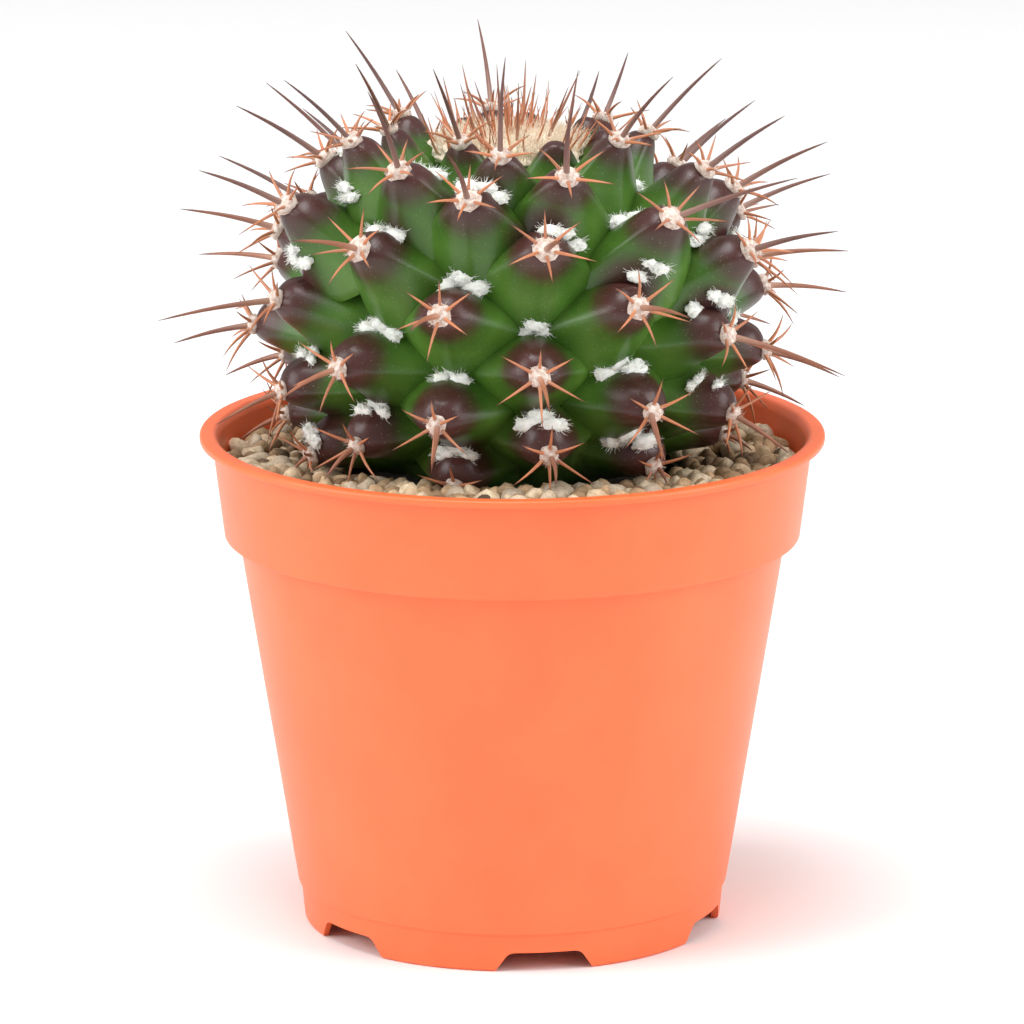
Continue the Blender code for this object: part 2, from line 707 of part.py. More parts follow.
def make_crown_wool(collection, material):
    """A lumpy cushion of wool with the youngest spines growing out of it."""
    bm = bmesh.new()
    bmesh.ops.create_icosphere(bm, subdivisions=3, radius=1.0)
    height = (WOOL_TOP_Z - WOOL_FOOT_Z) / 2
    chance = random.Random(5)
    for vertex in bm.verts:
        lump = chance.uniform(WOOL_LUMP, 1.0)
        vertex.co = Vector((vertex.co.x * WOOL_RADIUS, vertex.co.y * WOOL_RADIUS, vertex.co.z * height)) * lump
        vertex.co.z += WOOL_FOOT_Z + height
    bm.normal_update()
    spines = []
    for index in range(YOUNG_SPINES):
        age = YOUNGEST_TUBERCLE - 1 - index
        radius = YOUNG_SPINE_RING * (1.0 - index / YOUNG_SPINES) ** 0.7
        foot = around(radius, spiral_angle(age), WOOL_TOP_Z)
        lean = around(1.0, spiral_angle(age), 0.0) * chance.uniform(*YOUNG_SPINE_LEANS)
        length = chance.uniform(*YOUNG_SPINE_LENGTHS)
        spines.append((foot, foot + (Vector((0.0, 0.0, 1.0)) + lean).normalized() * length))
    for foot, tip in spines:
        tops = [face for face in bm.faces if len(face.verts) == 3 and face.normal.z > 0.3 and not face.tag]
        face = min(tops, key=lambda part: (part.calc_center_median() - foot).length)
        for edge in face.edges:
            for near in edge.link_faces:
                near.tag = True
        grow_spine(bm, face, tip, YOUNG_SPINE_WIDTH)
    add_object("crown_wool", mesh_from(bm, "crown_wool"), collection, material)
    return spines


def build():
    clear_scene()
    parts = new_collection(OBJECT_NAME)
    make_pot(parts, principled("pot plastic", (1.0, 0.235, 0.100), 0.42))
    make_potting_mix(parts, principled("potting soil", (0.055, 0.035, 0.022), 0.95))
    make_grit(parts, principled("grit", (0.42, 0.33, 0.23), 0.85))
    make_stem(parts, principled("stem skin", (0.045, 0.120, 0.030), 0.45))
    placed = make_crown_wool(parts, principled("wool", (0.85, 0.78, 0.62), 0.95))
    thorn = principled("spines", (0.42, 0.20, 0.13), 0.50)
    for age in range(YOUNGEST_SPINED, OLDEST_SPINED + 1):
        frame, twist, central, radials = place_spines(age, placed)
        name = f"areole_spines_{age - YOUNGEST_SPINED + 1:02d}"
        areole_cluster(name, age, frame, twist, central, radials, parts, thorn)
        placed += radials + [central]


build()
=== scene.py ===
"""Potted round cactus: the finished surfaces of the plant, its spines and wool, the gravel and the pot.

Metres, +Z up, front towards -Y. Tubercles are numbered by age along one spiral, from the crown
(negative) to the soil (positive), and angles around the plant are counted from the front towards +X.
"""

import math
import random

import bmesh
import bpy
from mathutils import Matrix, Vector, noise
from mathutils.bvhtree import BVHTree


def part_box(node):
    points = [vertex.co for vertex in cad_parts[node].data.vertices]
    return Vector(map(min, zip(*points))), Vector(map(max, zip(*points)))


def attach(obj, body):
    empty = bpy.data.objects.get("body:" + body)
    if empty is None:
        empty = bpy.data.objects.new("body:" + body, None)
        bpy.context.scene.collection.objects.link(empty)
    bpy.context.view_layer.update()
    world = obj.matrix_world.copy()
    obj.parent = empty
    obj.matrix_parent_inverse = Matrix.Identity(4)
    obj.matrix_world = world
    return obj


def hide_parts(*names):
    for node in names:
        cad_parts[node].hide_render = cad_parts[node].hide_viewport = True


bl_info = {
    "name": "Potted round cactus",
    "version": (1, 0, 0),
    "blender": (4, 5, 0),
    "location": "View3D > Sidebar > Cactus",
    "description": "Builds a small round cactus with its spines, wool, gravel and nursery pot",
    "category": "Add Mesh",
}

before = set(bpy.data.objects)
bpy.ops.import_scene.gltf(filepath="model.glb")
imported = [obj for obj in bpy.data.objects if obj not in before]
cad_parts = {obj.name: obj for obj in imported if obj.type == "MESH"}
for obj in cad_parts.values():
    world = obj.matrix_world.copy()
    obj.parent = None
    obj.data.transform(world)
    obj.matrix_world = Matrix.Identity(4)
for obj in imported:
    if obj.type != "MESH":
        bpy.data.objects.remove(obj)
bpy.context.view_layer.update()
POT_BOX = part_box("pot")
WOOL_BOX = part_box("crown_wool")
GRIT_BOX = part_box("grit_top_dressing")
SPINE_NODES = sorted(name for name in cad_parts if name.startswith("areole_spines"))
GAP = 0.0003

# The spiral of the tubercles, as the solids have it.
SPIRAL_START = math.radians(8.3)
SPIRAL_STEP = math.radians(311.75)
SPIRAL_DRIFT = math.radians(0.00888)
YOUNGEST_SPINED = -29
OLDEST_SPINED = YOUNGEST_SPINED + len(SPINE_NODES) - 1
YOUNGEST_TUBERCLE = -34
OLDEST_TUBERCLE = 41
# Age, radius and height of the tubercle's tip, and how steeply it points up in degrees.
TIP_STATIONS = (
    (-44, 0.0015, 0.1086, 88.0),
    (-38, 0.0065, 0.1092, 82.0),
    (-32, 0.0125, 0.1100, 76.0),
    (-26, 0.0195, 0.1104, 68.0),
    (-21, 0.0260, 0.1106, 60.0),
    (-14, 0.0299, 0.1078, 52.0),
    (-7, 0.0325, 0.1040, 45.0),
    (0, 0.0340, 0.0986, 34.0),
    (8, 0.0348, 0.0916, 21.0),
    (15, 0.0348, 0.0846, 8.0),
    (23, 0.0343, 0.0777, -2.0),
    (30, 0.0312, 0.0718, -8.0),
    (38, 0.0275, 0.0674, -13.0),
    (44, 0.0245, 0.0645, -17.0),
)
# How far some tips stray from the spiral, in metres: to the right, up, and outwards, seen from outside.
TIP_STRAYS = {
    -24: (0.0000, -0.0010, -0.0040),
    -23: (-0.0015, 0.0012, 0.0000),
    -22: (0.0010, -0.0005, 0.0000),
    -16: (-0.0020, -0.0030, -0.0015),
    -14: (0.0020, 0.0010, 0.0000),
    -13: (0.0000, -0.0010, -0.0055),
    -9: (0.0000, -0.0035, -0.0040),
    -8: (0.0015, -0.0028, 0.0000),
    -7: (0.0015, 0.0022, 0.0000),
    -6: (0.0000, -0.0015, 0.0000),
    -1: (0.0025, -0.0036, 0.0000),
    0: (-0.0005, 0.0012, 0.0000),
    1: (0.0022, 0.0009, 0.0000),
    2: (0.0000, 0.0000, -0.0025),
    6: (0.0000, 0.0000, -0.0020),
    7: (-0.0020, -0.0010, 0.0000),
    8: (0.0010, -0.0006, 0.0000),
    9: (0.0005, -0.0014, -0.0006),
    15: (-0.0005, -0.0015, 0.0000),
    16: (0.0004, -0.0013, 0.0000),
    21: (0.0000, 0.0013, 0.0000),
    22: (0.0006, -0.0014, 0.0000),
    23: (0.0000, -0.0015, 0.0000),
    29: (0.0020, 0.0016, 0.0018),
    31: (-0.0015, 0.0000, 0.0000),
    37: (0.0030, 0.0000, 0.0000),
    38: (-0.0018, -0.0010, 0.0000),
    39: (-0.0010, 0.0010, 0.0030),
}
# The back of the crown falls away, from one angle to a second one, by a drop and an inset.
BACK_START = math.radians(80.0)
BACK_FULL = math.radians(110.0)
BACK_DROP = 0.0062
BACK_INSET = 0.0042
# It sets in over some ages after the youngest, and fades out over some ages before the oldest.
FALL_YOUNGEST = -28
FALL_SETS_IN = 8
FALL_OLDEST = 12
FALL_FADES_OUT = 22
# The same for the core under the tubercles, by its radius and height.
CORE_FALL_WIDTH = 0.0050
CORE_FALL_FOOT_Z = 0.0850
CORE_FALL_HEIGHT = 0.0150
# Sections of a full-grown tubercle from tip to root: depth behind the tip, half width, and height
# above and below the middle.
TUBERCLE_SECTIONS = (
    (0.0000, 0.00130, 0.00125, 0.00115),
    (0.0003, 0.00200, 0.00210, 0.00155),
    (0.0010, 0.00290, 0.00305, 0.00205),
    (0.0022, 0.00385, 0.00375, 0.00260),
    (0.0042, 0.00515, 0.00435, 0.00335),
    (0.0062, 0.00635, 0.00495, 0.00425),
    (0.0085, 0.00765, 0.00590, 0.00550),
    (0.0120, 0.00950, 0.00740, 0.00740),
)
ROOT_DEPTH = 0.0130
CROWN_RADIUS = 0.0105
WOOL_HEIGHT = 0.0052
AREOLE_RADIUS = 0.0018
AREOLE_HEIGHT = 0.0010
AREOLE_SHRINK = 0.25
RADIAL_COUNT = 6
RADIAL_LENGTH = 0.0068
RADIAL_SPREAD = math.radians(70.0)
RADIAL_TWIST = math.radians(30.0)
TWIST_TURNS = (0, 5, -5, 10, -10, 15, -15, 20, -20, 25, -25, 30)
SPREAD_VARIATION = 0.08
LENGTH_VARIATION = (0.85, 1.15)
SHORTENING = 0.85
SHORTEST_RADIAL = 0.0020
SHORTEST_CENTRAL = 0.0030
UPPER_RADIAL_SCALE = 0.7
SPINE_ROOM = 0.0010
SPINE_REACH = 0.0340
CENTRAL_LENGTH = 0.0135
OLD_CENTRAL_LENGTH = 0.0095
CENTRAL_DROOP = -20.0
# The young spines that the solid wool holds. It draws one lump size for each of its points first.
SOLID_YOUNGEST_TUBERCLE = -31
SOLID_WOOL_POINTS = 162
WOOL_LUMP = 0.94
YOUNG_SPINES = 14
YOUNG_SPINE_RING = 0.85 * CROWN_RADIUS
YOUNG_SPINE_LENGTHS = (0.005, 0.009)
YOUNG_SPINE_LEANS = (0.1, 0.5)
# More of the shortest spines, which only the finished crown has.
CROWN_SPINES = 95
CROWN_SPINE_RING = 0.0130
CROWN_SPINE_LENGTHS = (0.0035, 0.0075)
# Half widths of the finished spines at the root and at the point.
CENTRAL_HALF_WIDTH = 0.00047
YOUNG_CENTRAL_HALF_WIDTH = 0.00040
RADIAL_HALF_WIDTH = 0.00031
YOUNG_HALF_WIDTH = 0.00028
CROWN_HALF_WIDTH = 0.00019
CENTRAL_POINT = 0.00003
POINT = 0.00002
CENTRAL_BOW = 0.0004
# Central spines that lean out of line: degrees to the right, degrees up, and length.
CENTRAL_LEANS = {
    -28: (40, -15, 0.0160),
    -26: (0, -30, 0.0160),
    -25: (25, -36, 0.0140),
    -22: (5, 8, 0.0145),
    -15: (-5, 2, 0.0130),
    -14: (10, -3, 0.0160),
    -8: (50, -19, 0.0170),
    -7: (0, -9, 0.0130),
    9: (-5, -26, 0.0160),
    14: (30, -31, 0.0160),
    22: (-25, -19, 0.0130),
    23: (15, -13, 0.0120),
}
CORE_PROFILE = (
    (0.0000, 0.1035),
    (0.0110, 0.1035),
    (0.0176, 0.1028),
    (0.0222, 0.0994),
    (0.0244, 0.0945),
    (0.0250, 0.0890),
    (0.0250, 0.0840),
    (0.0242, 0.0770),
    (0.0218, 0.0695),
    (0.0170, 0.0640),
    (0.0110, 0.0612),
    (0.0085, 0.0585),
    (0.0070, 0.0515),
    (0.0055, 0.0506),
    (0.0000, 0.0506),
)

# The pot, as the solid has it.
WALL = 0.0010
LIP_RADIUS = POT_BOX[1][0]
LIP_THICKNESS = 0.00105
POT_HEIGHT = POT_BOX[1][2]
BAND_TOP_RADIUS = 0.0408
BAND_FOOT_RADIUS = 0.0392
BAND_FOOT_Z = 0.0540
LEDGE_TOP_Z = BAND_FOOT_Z + 0.0005
LEDGE_FOOT_Z = BAND_FOOT_Z - 0.0010
BODY_TOP_RADIUS = 0.0373
BODY_FOOT_RADIUS = 0.0295
FOOT_LINE_Z = 0.0054
FOOT_TOP_RADIUS = 0.0291
FOOT_RADIUS = 0.0286
FLOOR_Z = 0.0029
GRIT_TOP_Z = 0.0650
NOTCH_COUNT = 6
NOTCH_FIRST_ANGLE = math.radians(8.8)
NOTCH_HEIGHT = 0.0027
NOTCH_FOOT_ANGLE = math.radians(27.0)
NOTCH_TOP_ANGLE = math.radians(19.6)
NOTCH_CORNER = 0.0009
NOTCH_INNER_RADIUS = 0.0220
NOTCH_DEPTH = 0.0120
POT_SIDES = 180
DRAIN_SIDES = 32
DRAIN_CUTTER_LENGTH = 0.0060
DRAIN_RADIUS = 0.0025
DRAIN_RING_RADIUS = 0.0205

# The camera's distance, height above the pot's foot, pitch and lens.
CAMERA_PLACE = (-0.00004, -0.900, 0.2721)
CAMERA_PITCH = math.radians(90.0 - 13.464)
CAMERA_LENS = 238.6


def around(radius, angle, height):
    """The point at this radius and height, at an angle counted from the front towards +X."""
    return Vector((radius * math.sin(angle), -radius * math.cos(angle), height))


# Shared helpers for meshes, node trees and materials.


def add_object(name, mesh):
    item = bpy.data.objects.new(name, mesh)
    bpy.context.scene.collection.objects.link(item)
    return item


def mesh_from(bm, name, sharp=None):
    """A smooth-shaded mesh of a bmesh, with sharp edges past an angle in degrees."""
    mesh = bpy.data.meshes.new(name)
    bm.to_mesh(mesh)
    bm.free()
    mesh.shade_smooth()
    if sharp:
        mesh.set_sharp_from_angle(angle=math.radians(sharp))
    return mesh


def evaluated_mesh(item, name):
    """A plain mesh of the object with its modifiers applied."""
    graph = bpy.context.evaluated_depsgraph_get()
    mesh = bpy.data.meshes.new_from_object(item.evaluated_get(graph))
    mesh.name = name
    return mesh


def remove(*items):
    for item in items:
        bpy.data.objects.remove(item, do_unlink=True)


def turned_mesh(name, profile, sides):
    """A solid of revolution. The profile runs down its outer side, as (radius, height) points."""
    mesh = bpy.data.meshes.new(name)
    edges = [(i, i + 1) for i in range(len(profile) - 1)]
    mesh.from_pydata([(radius, 0.0, height) for radius, height in profile], edges, [])
    item = add_object(name, mesh)
    screw = item.modifiers.new("turn", "SCREW")
    screw.steps = sides
    screw.render_steps = sides
    screw.use_merge_vertices = True
    screw.merge_threshold = 0.00001
    solid = evaluated_mesh(item, name)
    remove(item)
    return solid


def combined_mesh(name, base, operations):
    """The base mesh after joining or cutting lists of meshes, in order."""
    item = add_object(name, base)
    helpers = []
    for index, (operation, meshes) in enumerate(operations):
        group = bpy.data.collections.new(f"{name}_{index}")
        bpy.context.scene.collection.children.link(group)
        for mesh in meshes:
            helper = bpy.data.objects.new(mesh.name, mesh)
            group.objects.link(helper)
            helpers.append(helper)
        boolean = item.modifiers.new(operation.lower(), "BOOLEAN")
        boolean.operation = operation
        boolean.solver = "MANIFOLD"
        boolean.operand_type = "COLLECTION"
        boolean.collection = group
    solid = evaluated_mesh(item, name)
    remove(item, *helpers)
    for index in range(len(operations)):
        bpy.data.collections.remove(bpy.data.collections[f"{name}_{index}"])
    return solid


class Tree:
    """A node tree under construction."""

    def __init__(self, tree):
        self.tree = tree

    def add(self, kind, values=None, **settings):
        """A new node with these settings, its inputs set to the values given or linked to the sockets given."""
        node = self.tree.nodes.new(kind)
        for key, value in settings.items():
            setattr(node, key, value)
        for key, value in (values or {}).items():
            if isinstance(value, bpy.types.NodeSocket):
                self.link(value, node.inputs[key])
            else:
                node.inputs[key].default_value = value
        return node

    def link(self, source, target):
        self.tree.links.new(source, target)


def geometry_tree(name, inputs):
    """A Geometry Nodes tree with a geometry input and output and the named inputs given."""
    tree = bpy.data.node_groups.new(name, "GeometryNodeTree")
    tree.interface.new_socket(name="Geometry", in_out="INPUT", socket_type="NodeSocketGeometry")
    for label, kind in inputs:
        tree.interface.new_socket(name=label, in_out="INPUT", socket_type=kind)
    tree.interface.new_socket(name="Geometry", in_out="OUTPUT", socket_type="NodeSocketGeometry")
    return tree, Tree(tree)


def finish_tree(build, source, material):
    """Ends a tree with real geometry in its material."""
    realized = build.add("GeometryNodeRealizeInstances", {0: source})
    painted = build.add("GeometryNodeSetMaterial", {"Geometry": realized.outputs[0], "Material": material})
    build.add("NodeGroupOutput", {0: painted.outputs[0]})


def grown(item, tree, values, name):
    """The plain mesh that a Geometry Nodes tree makes of an object, which is then removed."""
    modifier = item.modifiers.new(tree.name, "NODES")
    modifier.node_group = tree
    for socket in tree.interface.items_tree:
        if socket.name in values:
            modifier[socket.identifier] = values[socket.name]
    mesh = evaluated_mesh(item, name)
    item.modifiers.remove(modifier)
    remove(item)
    return mesh


def finish_piece(name, mesh, replaced=(), material=None):
    """Adds the finished mesh as a piece that rides on the pot's body."""
    if material:
        mesh.materials.clear()
        mesh.materials.append(material)
    piece = add_object(name, mesh)
    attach(piece, "root")
    if replaced:
        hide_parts(*replaced)
    return piece


def new_material(name, roughness=0.5, **sockets):
    """A material, its tree builder and its shader, with constant values set on the shader."""
    material = bpy.data.materials.new(name)
    material.use_nodes = True
    build = Tree(material.node_tree)
    shader = material.node_tree.nodes["Principled BSDF"]
    shader.inputs["Roughness"].default_value = roughness
    for key, value in sockets.items():
        shader.inputs[key.replace("_", " ")].default_value = value
    return material, build, shader


def ramp(build, source, stops):
    """A colour ramp fed by a value. Stops are (position, colour)."""
    node = build.add("ShaderNodeValToRGB", {"Fac": source})
    elements = node.color_ramp.elements
    while len(elements) < len(stops):
        elements.new(1.0)
    for element, (position, colour) in zip(elements, stops):
        element.position = position
        element.color = (*colour, 1.0)
    return node.outputs["Color"]


def noise_value(build, scale, detail=4.0, roughness=0.55):
    """Noise on object coordinates, at this many features a metre."""
    place = build.add("ShaderNodeTexCoord").outputs["Object"]
    values = {"Vector": place, "Scale": scale, "Detail": detail, "Roughness": roughness}
    return build.add("ShaderNodeTexNoise", values).outputs["Fac"]


def attribute_value(build, name):
    return build.add("ShaderNodeAttribute", attribute_name=name).outputs["Fac"]


def mixed(build, factor, first, second, blend="MIX"):
    """Colour mix of two sockets or colours, by a socket or a constant."""
    node = build.add("ShaderNodeMix", data_type="RGBA", blend_type=blend)
    for socket, value in ((node.inputs["Factor"], factor), (node.inputs[6], first), (node.inputs[7], second)):
        if isinstance(value, bpy.types.NodeSocket):
            build.link(value, socket)
        elif isinstance(value, float):
            socket.default_value = value
        else:
            socket.default_value = (*value, 1.0)
    return node.outputs[2]


def bumped(build, shader, height, strength, distance):
    bump = build.add("ShaderNodeBump", {"Strength": strength, "Distance": distance, "Height": height})
    build.link(bump.outputs["Normal"], shader.inputs["Normal"])


# The plant's growth rule.


def station(age):
    """Radius, height and upward angle of the tip of the tubercle of this age."""
    for younger, older in zip(TIP_STATIONS, TIP_STATIONS[1:]):
        if age <= older[0]:
            break
    share = (age - younger[0]) / (older[0] - younger[0])
    radius, height, rise = (a + share * (b - a) for a, b in zip(younger[1:], older[1:]))
    return radius, height, math.radians(rise)


def spiral_angle(age):
    return SPIRAL_START + SPIRAL_STEP * age + SPIRAL_DRIFT * age * age


def growth(age):
    """Size of a tubercle of this age against a full-grown one."""
    return min(1.0, max(0.3, 1.0 + (age + 10) * 0.021))


def clamped(value):
    return min(max(value, 0.0), 1.0)


def backwards(angle):
    """How much of the back's falling away this angle has, from 0 to 1."""
    return clamped((abs(math.remainder(angle, math.tau)) - BACK_START) / (BACK_FULL - BACK_START))


def tubercle_frame(age):
    """Tip, outward axis, rightward and upward directions of the tubercle of this age."""
    radius, height, rise = station(age)
    angle = spiral_angle(age)
    fall = backwards(angle) * clamped((age - FALL_YOUNGEST) / FALL_SETS_IN)
    fall *= clamped((FALL_OLDEST - age) / FALL_FADES_OUT)
    radius -= BACK_INSET * fall
    height -= BACK_DROP * fall
    axis = around(math.cos(rise), angle, math.sin(rise))
    right = Vector((math.cos(angle), math.sin(angle), 0.0))
    up = axis.cross(right)
    across, along, outward = TIP_STRAYS.get(age, (0.0, 0.0, 0.0))
    return around(radius + outward, angle, height) + across * right + along * up, axis, right, up


# The stem.

TUBERCLE_SIDES = 44
TUBERCLE_STEPS = 4
CORE_SIDES = 96
# The dark cap's middle, above and behind the tip, and how far the creases' pale tint reaches.
CAP_RISE = 0.0016
CAP_DEPTH = 0.0010
FARTHEST_MM = 20.0
CREASE_REACH = 0.0016
CREASE_PALENESS = 0.55


def smooth_rows(rows, steps):
    """The rows with this many steps between each two, along a smooth curve through them."""
    result = []
    for index in range(len(rows) - 1):
        before = rows[max(index - 1, 0)]
        here, there = rows[index], rows[index + 1]
        after = rows[min(index + 2, len(rows) - 1)]
        for step in range(steps):
            t = step / steps
            result.append(
                tuple(
                    b + 0.5 * t * (c - a + t * (2 * a - 5 * b + 4 * c - d + t * (3 * (b - c) + d - a)))
                    for a, b, c, d in zip(before, here, there, after)
                )
            )
    return result + [rows[-1]]


def tubercle_mesh(age):
    """One tubercle: diamond root, side keels, a crisp keel below and a full dome above the blunt tip."""
    tip, axis, right, up = tubercle_frame(age)
    size = growth(age)
    bm = bmesh.new()
    rings = []
    rows = smooth_rows(TUBERCLE_SECTIONS, TUBERCLE_STEPS)
    rows.append((ROOT_DEPTH / size, *rows[-1][1:]))
    for depth, half_width, above, below in rows:
        place = min(depth / TUBERCLE_SECTIONS[-1][0], 1.0)
        side_power = 1.75 - 0.4 * place**0.5
        groove = 0.07 * math.exp(-(((place - 0.13) / 0.11) ** 2))
        centre = tip - axis * depth * size
        ring = []
        for index in range(TUBERCLE_SIDES):
            turn = index * math.tau / TUBERCLE_SIDES
            across, along = math.cos(turn), math.sin(turn)
            end_power = 2.1 - 0.4 * place if along > 0.0 else 1.9 - 0.6 * place**0.4
            across = math.copysign(abs(across) ** (2.0 / end_power), across)
            along = math.copysign(abs(along) ** (2.0 / side_power), along)
            if along > 0.0:
                along *= 1.0 - groove * math.exp(-((across / 0.22) ** 2))
            height = above if along > 0.0 else below
            ring.append(bm.verts.new(centre + (right * across * half_width + up * along * height) * size))
        rings.append(ring)
    for ring, following in zip(rings, rings[1:]):
        for index in range(TUBERCLE_SIDES):
            after = (index + 1) % TUBERCLE_SIDES
            bm.faces.new((ring[index], following[index], following[after], ring[after]))
    bm.faces.new(rings[0])
    bm.faces.new(reversed(rings[-1]))
    return mesh_from(bm, "tubercle")


def stem_material(colours):
    """Satin skin: green with pale flecks, lighter in the creases, purple-brown around the tips."""
    material, build, shader = new_material("cactus skin", roughness=0.36, Coat_Weight=0.08, Coat_Roughness=0.2)
    shader.inputs["Specular IOR Level"].default_value = 0.4
    shader.inputs["Subsurface Weight"].default_value = 0.04
    shader.inputs["Subsurface Radius"].default_value = (0.0012, 0.0020, 0.0006)
    values = {0: noise_value(build, 420.0, 5.0), 1: 0.9, 2: attribute_value(build, "from_tip")}
    uneven = build.add("ShaderNodeMath", values, operation="MULTIPLY_ADD")
    stops = (
        (0.00, tuple(colours.tip)),
        (0.38, tuple(colours.tip)),
        (0.51, tuple(colours.blush)),
        (0.66, tuple(colours.skin)),
        (1.00, tuple(colours.bright)),
    )
    in_centimetres = build.add("ShaderNodeMath", {0: uneven.outputs[0], 1: 0.1}, operation="MULTIPLY")
    skin = ramp(build, in_centimetres.outputs[0], stops)
    tone = ramp(build, noise_value(build, 160.0, 4.0), ((0.3, (0.75, 0.85, 0.7)), (0.7, (1.2, 1.12, 1.1))))
    skin = mixed(build, 1.0, skin, tone, "MULTIPLY")
    skin = mixed(build, attribute_value(build, "crease"), skin, tuple(colours.crease))
    place = build.add("ShaderNodeTexCoord").outputs["Object"]
    flecks = build.add("ShaderNodeTexVoronoi", {"Vector": place, "Scale": 1700.0}, feature="F1")
    dots = ramp(build, flecks.outputs["Distance"], ((0.0, (0.5, 0.5, 0.5)), (0.17, (0.0, 0.0, 0.0))))
    build.link(mixed(build, dots, skin, (0.36, 0.42, 0.28)), shader.inputs["Base Color"])
    bumped(build, shader, noise_value(build, 2600.0, 3.0), 0.10, 0.0002)
    return material


def write_skin_attributes(mesh, surface):
    """Stores how many millimetres each point lies from its tip's dark cap, and how deep in a crease."""
    caps = []
    for age in range(YOUNGEST_TUBERCLE, OLDEST_TUBERCLE + 1):
        tip, axis, _, up = tubercle_frame(age)
        size = growth(age)
        caps.append((tip + (up * CAP_RISE - axis * CAP_DEPTH) * size, size))
    distances = []
    creases = []
    for vertex in mesh.vertices:
        reach = min((vertex.co - middle).length / size for middle, size in caps)
        distances.append(min(reach * 1000.0, FARTHEST_MM))
        depth = surface.find_nearest(vertex.co)[3]
        creases.append(max(0.0, 1.0 - depth / CREASE_REACH) * CREASE_PALENESS)
    for label, values in (("from_tip", distances), ("crease", creases)):
        mesh.attributes.new(label, "FLOAT", "POINT").data.foreach_set("value", values)


def make_stem(colours):
    core = turned_mesh("stem_core", CORE_PROFILE, CORE_SIDES)
    for vertex in core.vertices:
        radius = math.hypot(vertex.co.x, vertex.co.y)
        fall = backwards(math.atan2(vertex.co.x, -vertex.co.y))
        fall *= clamped((radius - CROWN_RADIUS) / CORE_FALL_WIDTH)
        fall *= clamped((vertex.co.z - CORE_FALL_FOOT_Z) / CORE_FALL_HEIGHT)
        shrink = 1.0 - BACK_INSET * fall / max(radius, 0.001)
        vertex.co = Vector((vertex.co.x * shrink, vertex.co.y * shrink, vertex.co.z - BACK_DROP * fall))
    surface = BVHTree.FromPolygons([v.co for v in core.vertices], [p.vertices for p in core.polygons])
    tubercles = [tubercle_mesh(age) for age in range(YOUNGEST_TUBERCLE, OLDEST_TUBERCLE + 1)]
    mesh = combined_mesh("cactus_stem_skin", core, [("UNION", tubercles)])
    write_skin_attributes(mesh, surface)
    mesh.shade_smooth()
    mesh.set_sharp_from_angle(angle=math.radians(50))
    return finish_piece("cactus_stem_skin", mesh, ("cactus_stem",), stem_material(colours))


# Spines and hairs: lines that a tree turns into tapered, closed tubes.


class Strands:
    """Polylines with a thickness, a share of the way along and a shade for each point."""

    def __init__(self):
        self.points = []
        self.edges = []
        self.rows = []

    def add(self, points, root, tip, shade, power=1.0):
        first = len(self.points)
        last = len(points) - 1
        for index, point in enumerate(points):
            share = index / last
            self.points.append(point)
            self.rows.append((tip + (root - tip) * (1.0 - share) ** power, share, shade))
            if index:
                self.edges.append((first + index - 1, first + index))

    def mesh(self, name):
        mesh = bpy.data.meshes.new(name)
        mesh.from_pydata(self.points, self.edges, [])
        for column, label in enumerate(("thickness", "along", "shade")):
            values = mesh.attributes.new(label, "FLOAT", "POINT")
            values.data.foreach_set("value", [row[column] for row in self.rows])
        return mesh


def strand_tree():
    """Turns lines into tubes of their thickness, closed at both ends."""
    inputs = (("Sides", "NodeSocketInt"), ("Material", "NodeSocketMaterial"))
    tree, build = geometry_tree("strand tubes", inputs)
    given = build.add("NodeGroupInput").outputs
    lines = build.add("GeometryNodeMeshToCurve", {0: given["Geometry"]})
    named = build.add("GeometryNodeInputNamedAttribute", {"Name": "thickness"}, data_type="FLOAT")
    thickness = named.outputs["Attribute"]
    sized = build.add("GeometryNodeSetCurveRadius", {"Curve": lines.outputs[0], "Radius": thickness})
    circle = build.add("GeometryNodeCurvePrimitiveCircle", {"Radius": 1.0, "Resolution": given["Sides"]})
    ends = {"Curve": sized.outputs[0], "Profile Curve": circle.outputs[0], "Fill Caps": True}
    tubes = build.add("GeometryNodeCurveToMesh", ends)
    if "Scale" in tubes.inputs:
        build.link(thickness, tubes.inputs["Scale"])
    smooth = build.add("GeometryNodeSetShadeSmooth", {0: tubes.outputs[0]})
    finish_tree(build, smooth.outputs[0], given["Material"])
    return tree


def strand_mesh(strands, name, sides, material):
    tree = bpy.data.node_groups.get("strand tubes") or strand_tree()
    item = add_object(name + "_lines", strands.mesh(name + "_lines"))
    return grown(item, tree, {"Sides": sides, "Material": material}, name)


def bent_line(start, end, bend, count):
    """Points from start to end, bowed sideways by a vector at the middle."""
    return [
        start.lerp(end, step / count) + bend * math.sin(math.pi * step / count)
        for step in range(count + 1)
    ]


def segment_gap(first, second):
    """Shortest distance between two segments, each a (start, end) pair."""
    d1, d2, offset = first[1] - first[0], second[1] - second[0], first[0] - second[0]
    a, e, f = d1.dot(d1), d2.dot(d2), d2.dot(offset)
    b, c = d1.dot(d2), d1.dot(offset)
    spread = a * e - b * b
    s = min(max((b * f - c * e) / spread, 0.0), 1.0) if spread > 1e-18 else 0.0
    t = (b * s + f) / e
    if t < 0.0 or t > 1.0:
        t = min(max(t, 0.0), 1.0)
        s = min(max((b * t - c) / a, 0.0), 1.0)
    return (first[0] + d1 * s - second[0] - d2 * t).length


def clears_the_bed(tip):
    """Whether a spine's tip stays off the gravel and the pot's lip."""
    radius = math.hypot(tip.x, tip.y)
    if radius > BAND_TOP_RADIUS - 3 * WALL:
        return tip.z > POT_HEIGHT + WALL
    return tip.z > GRIT_TOP_Z + WALL


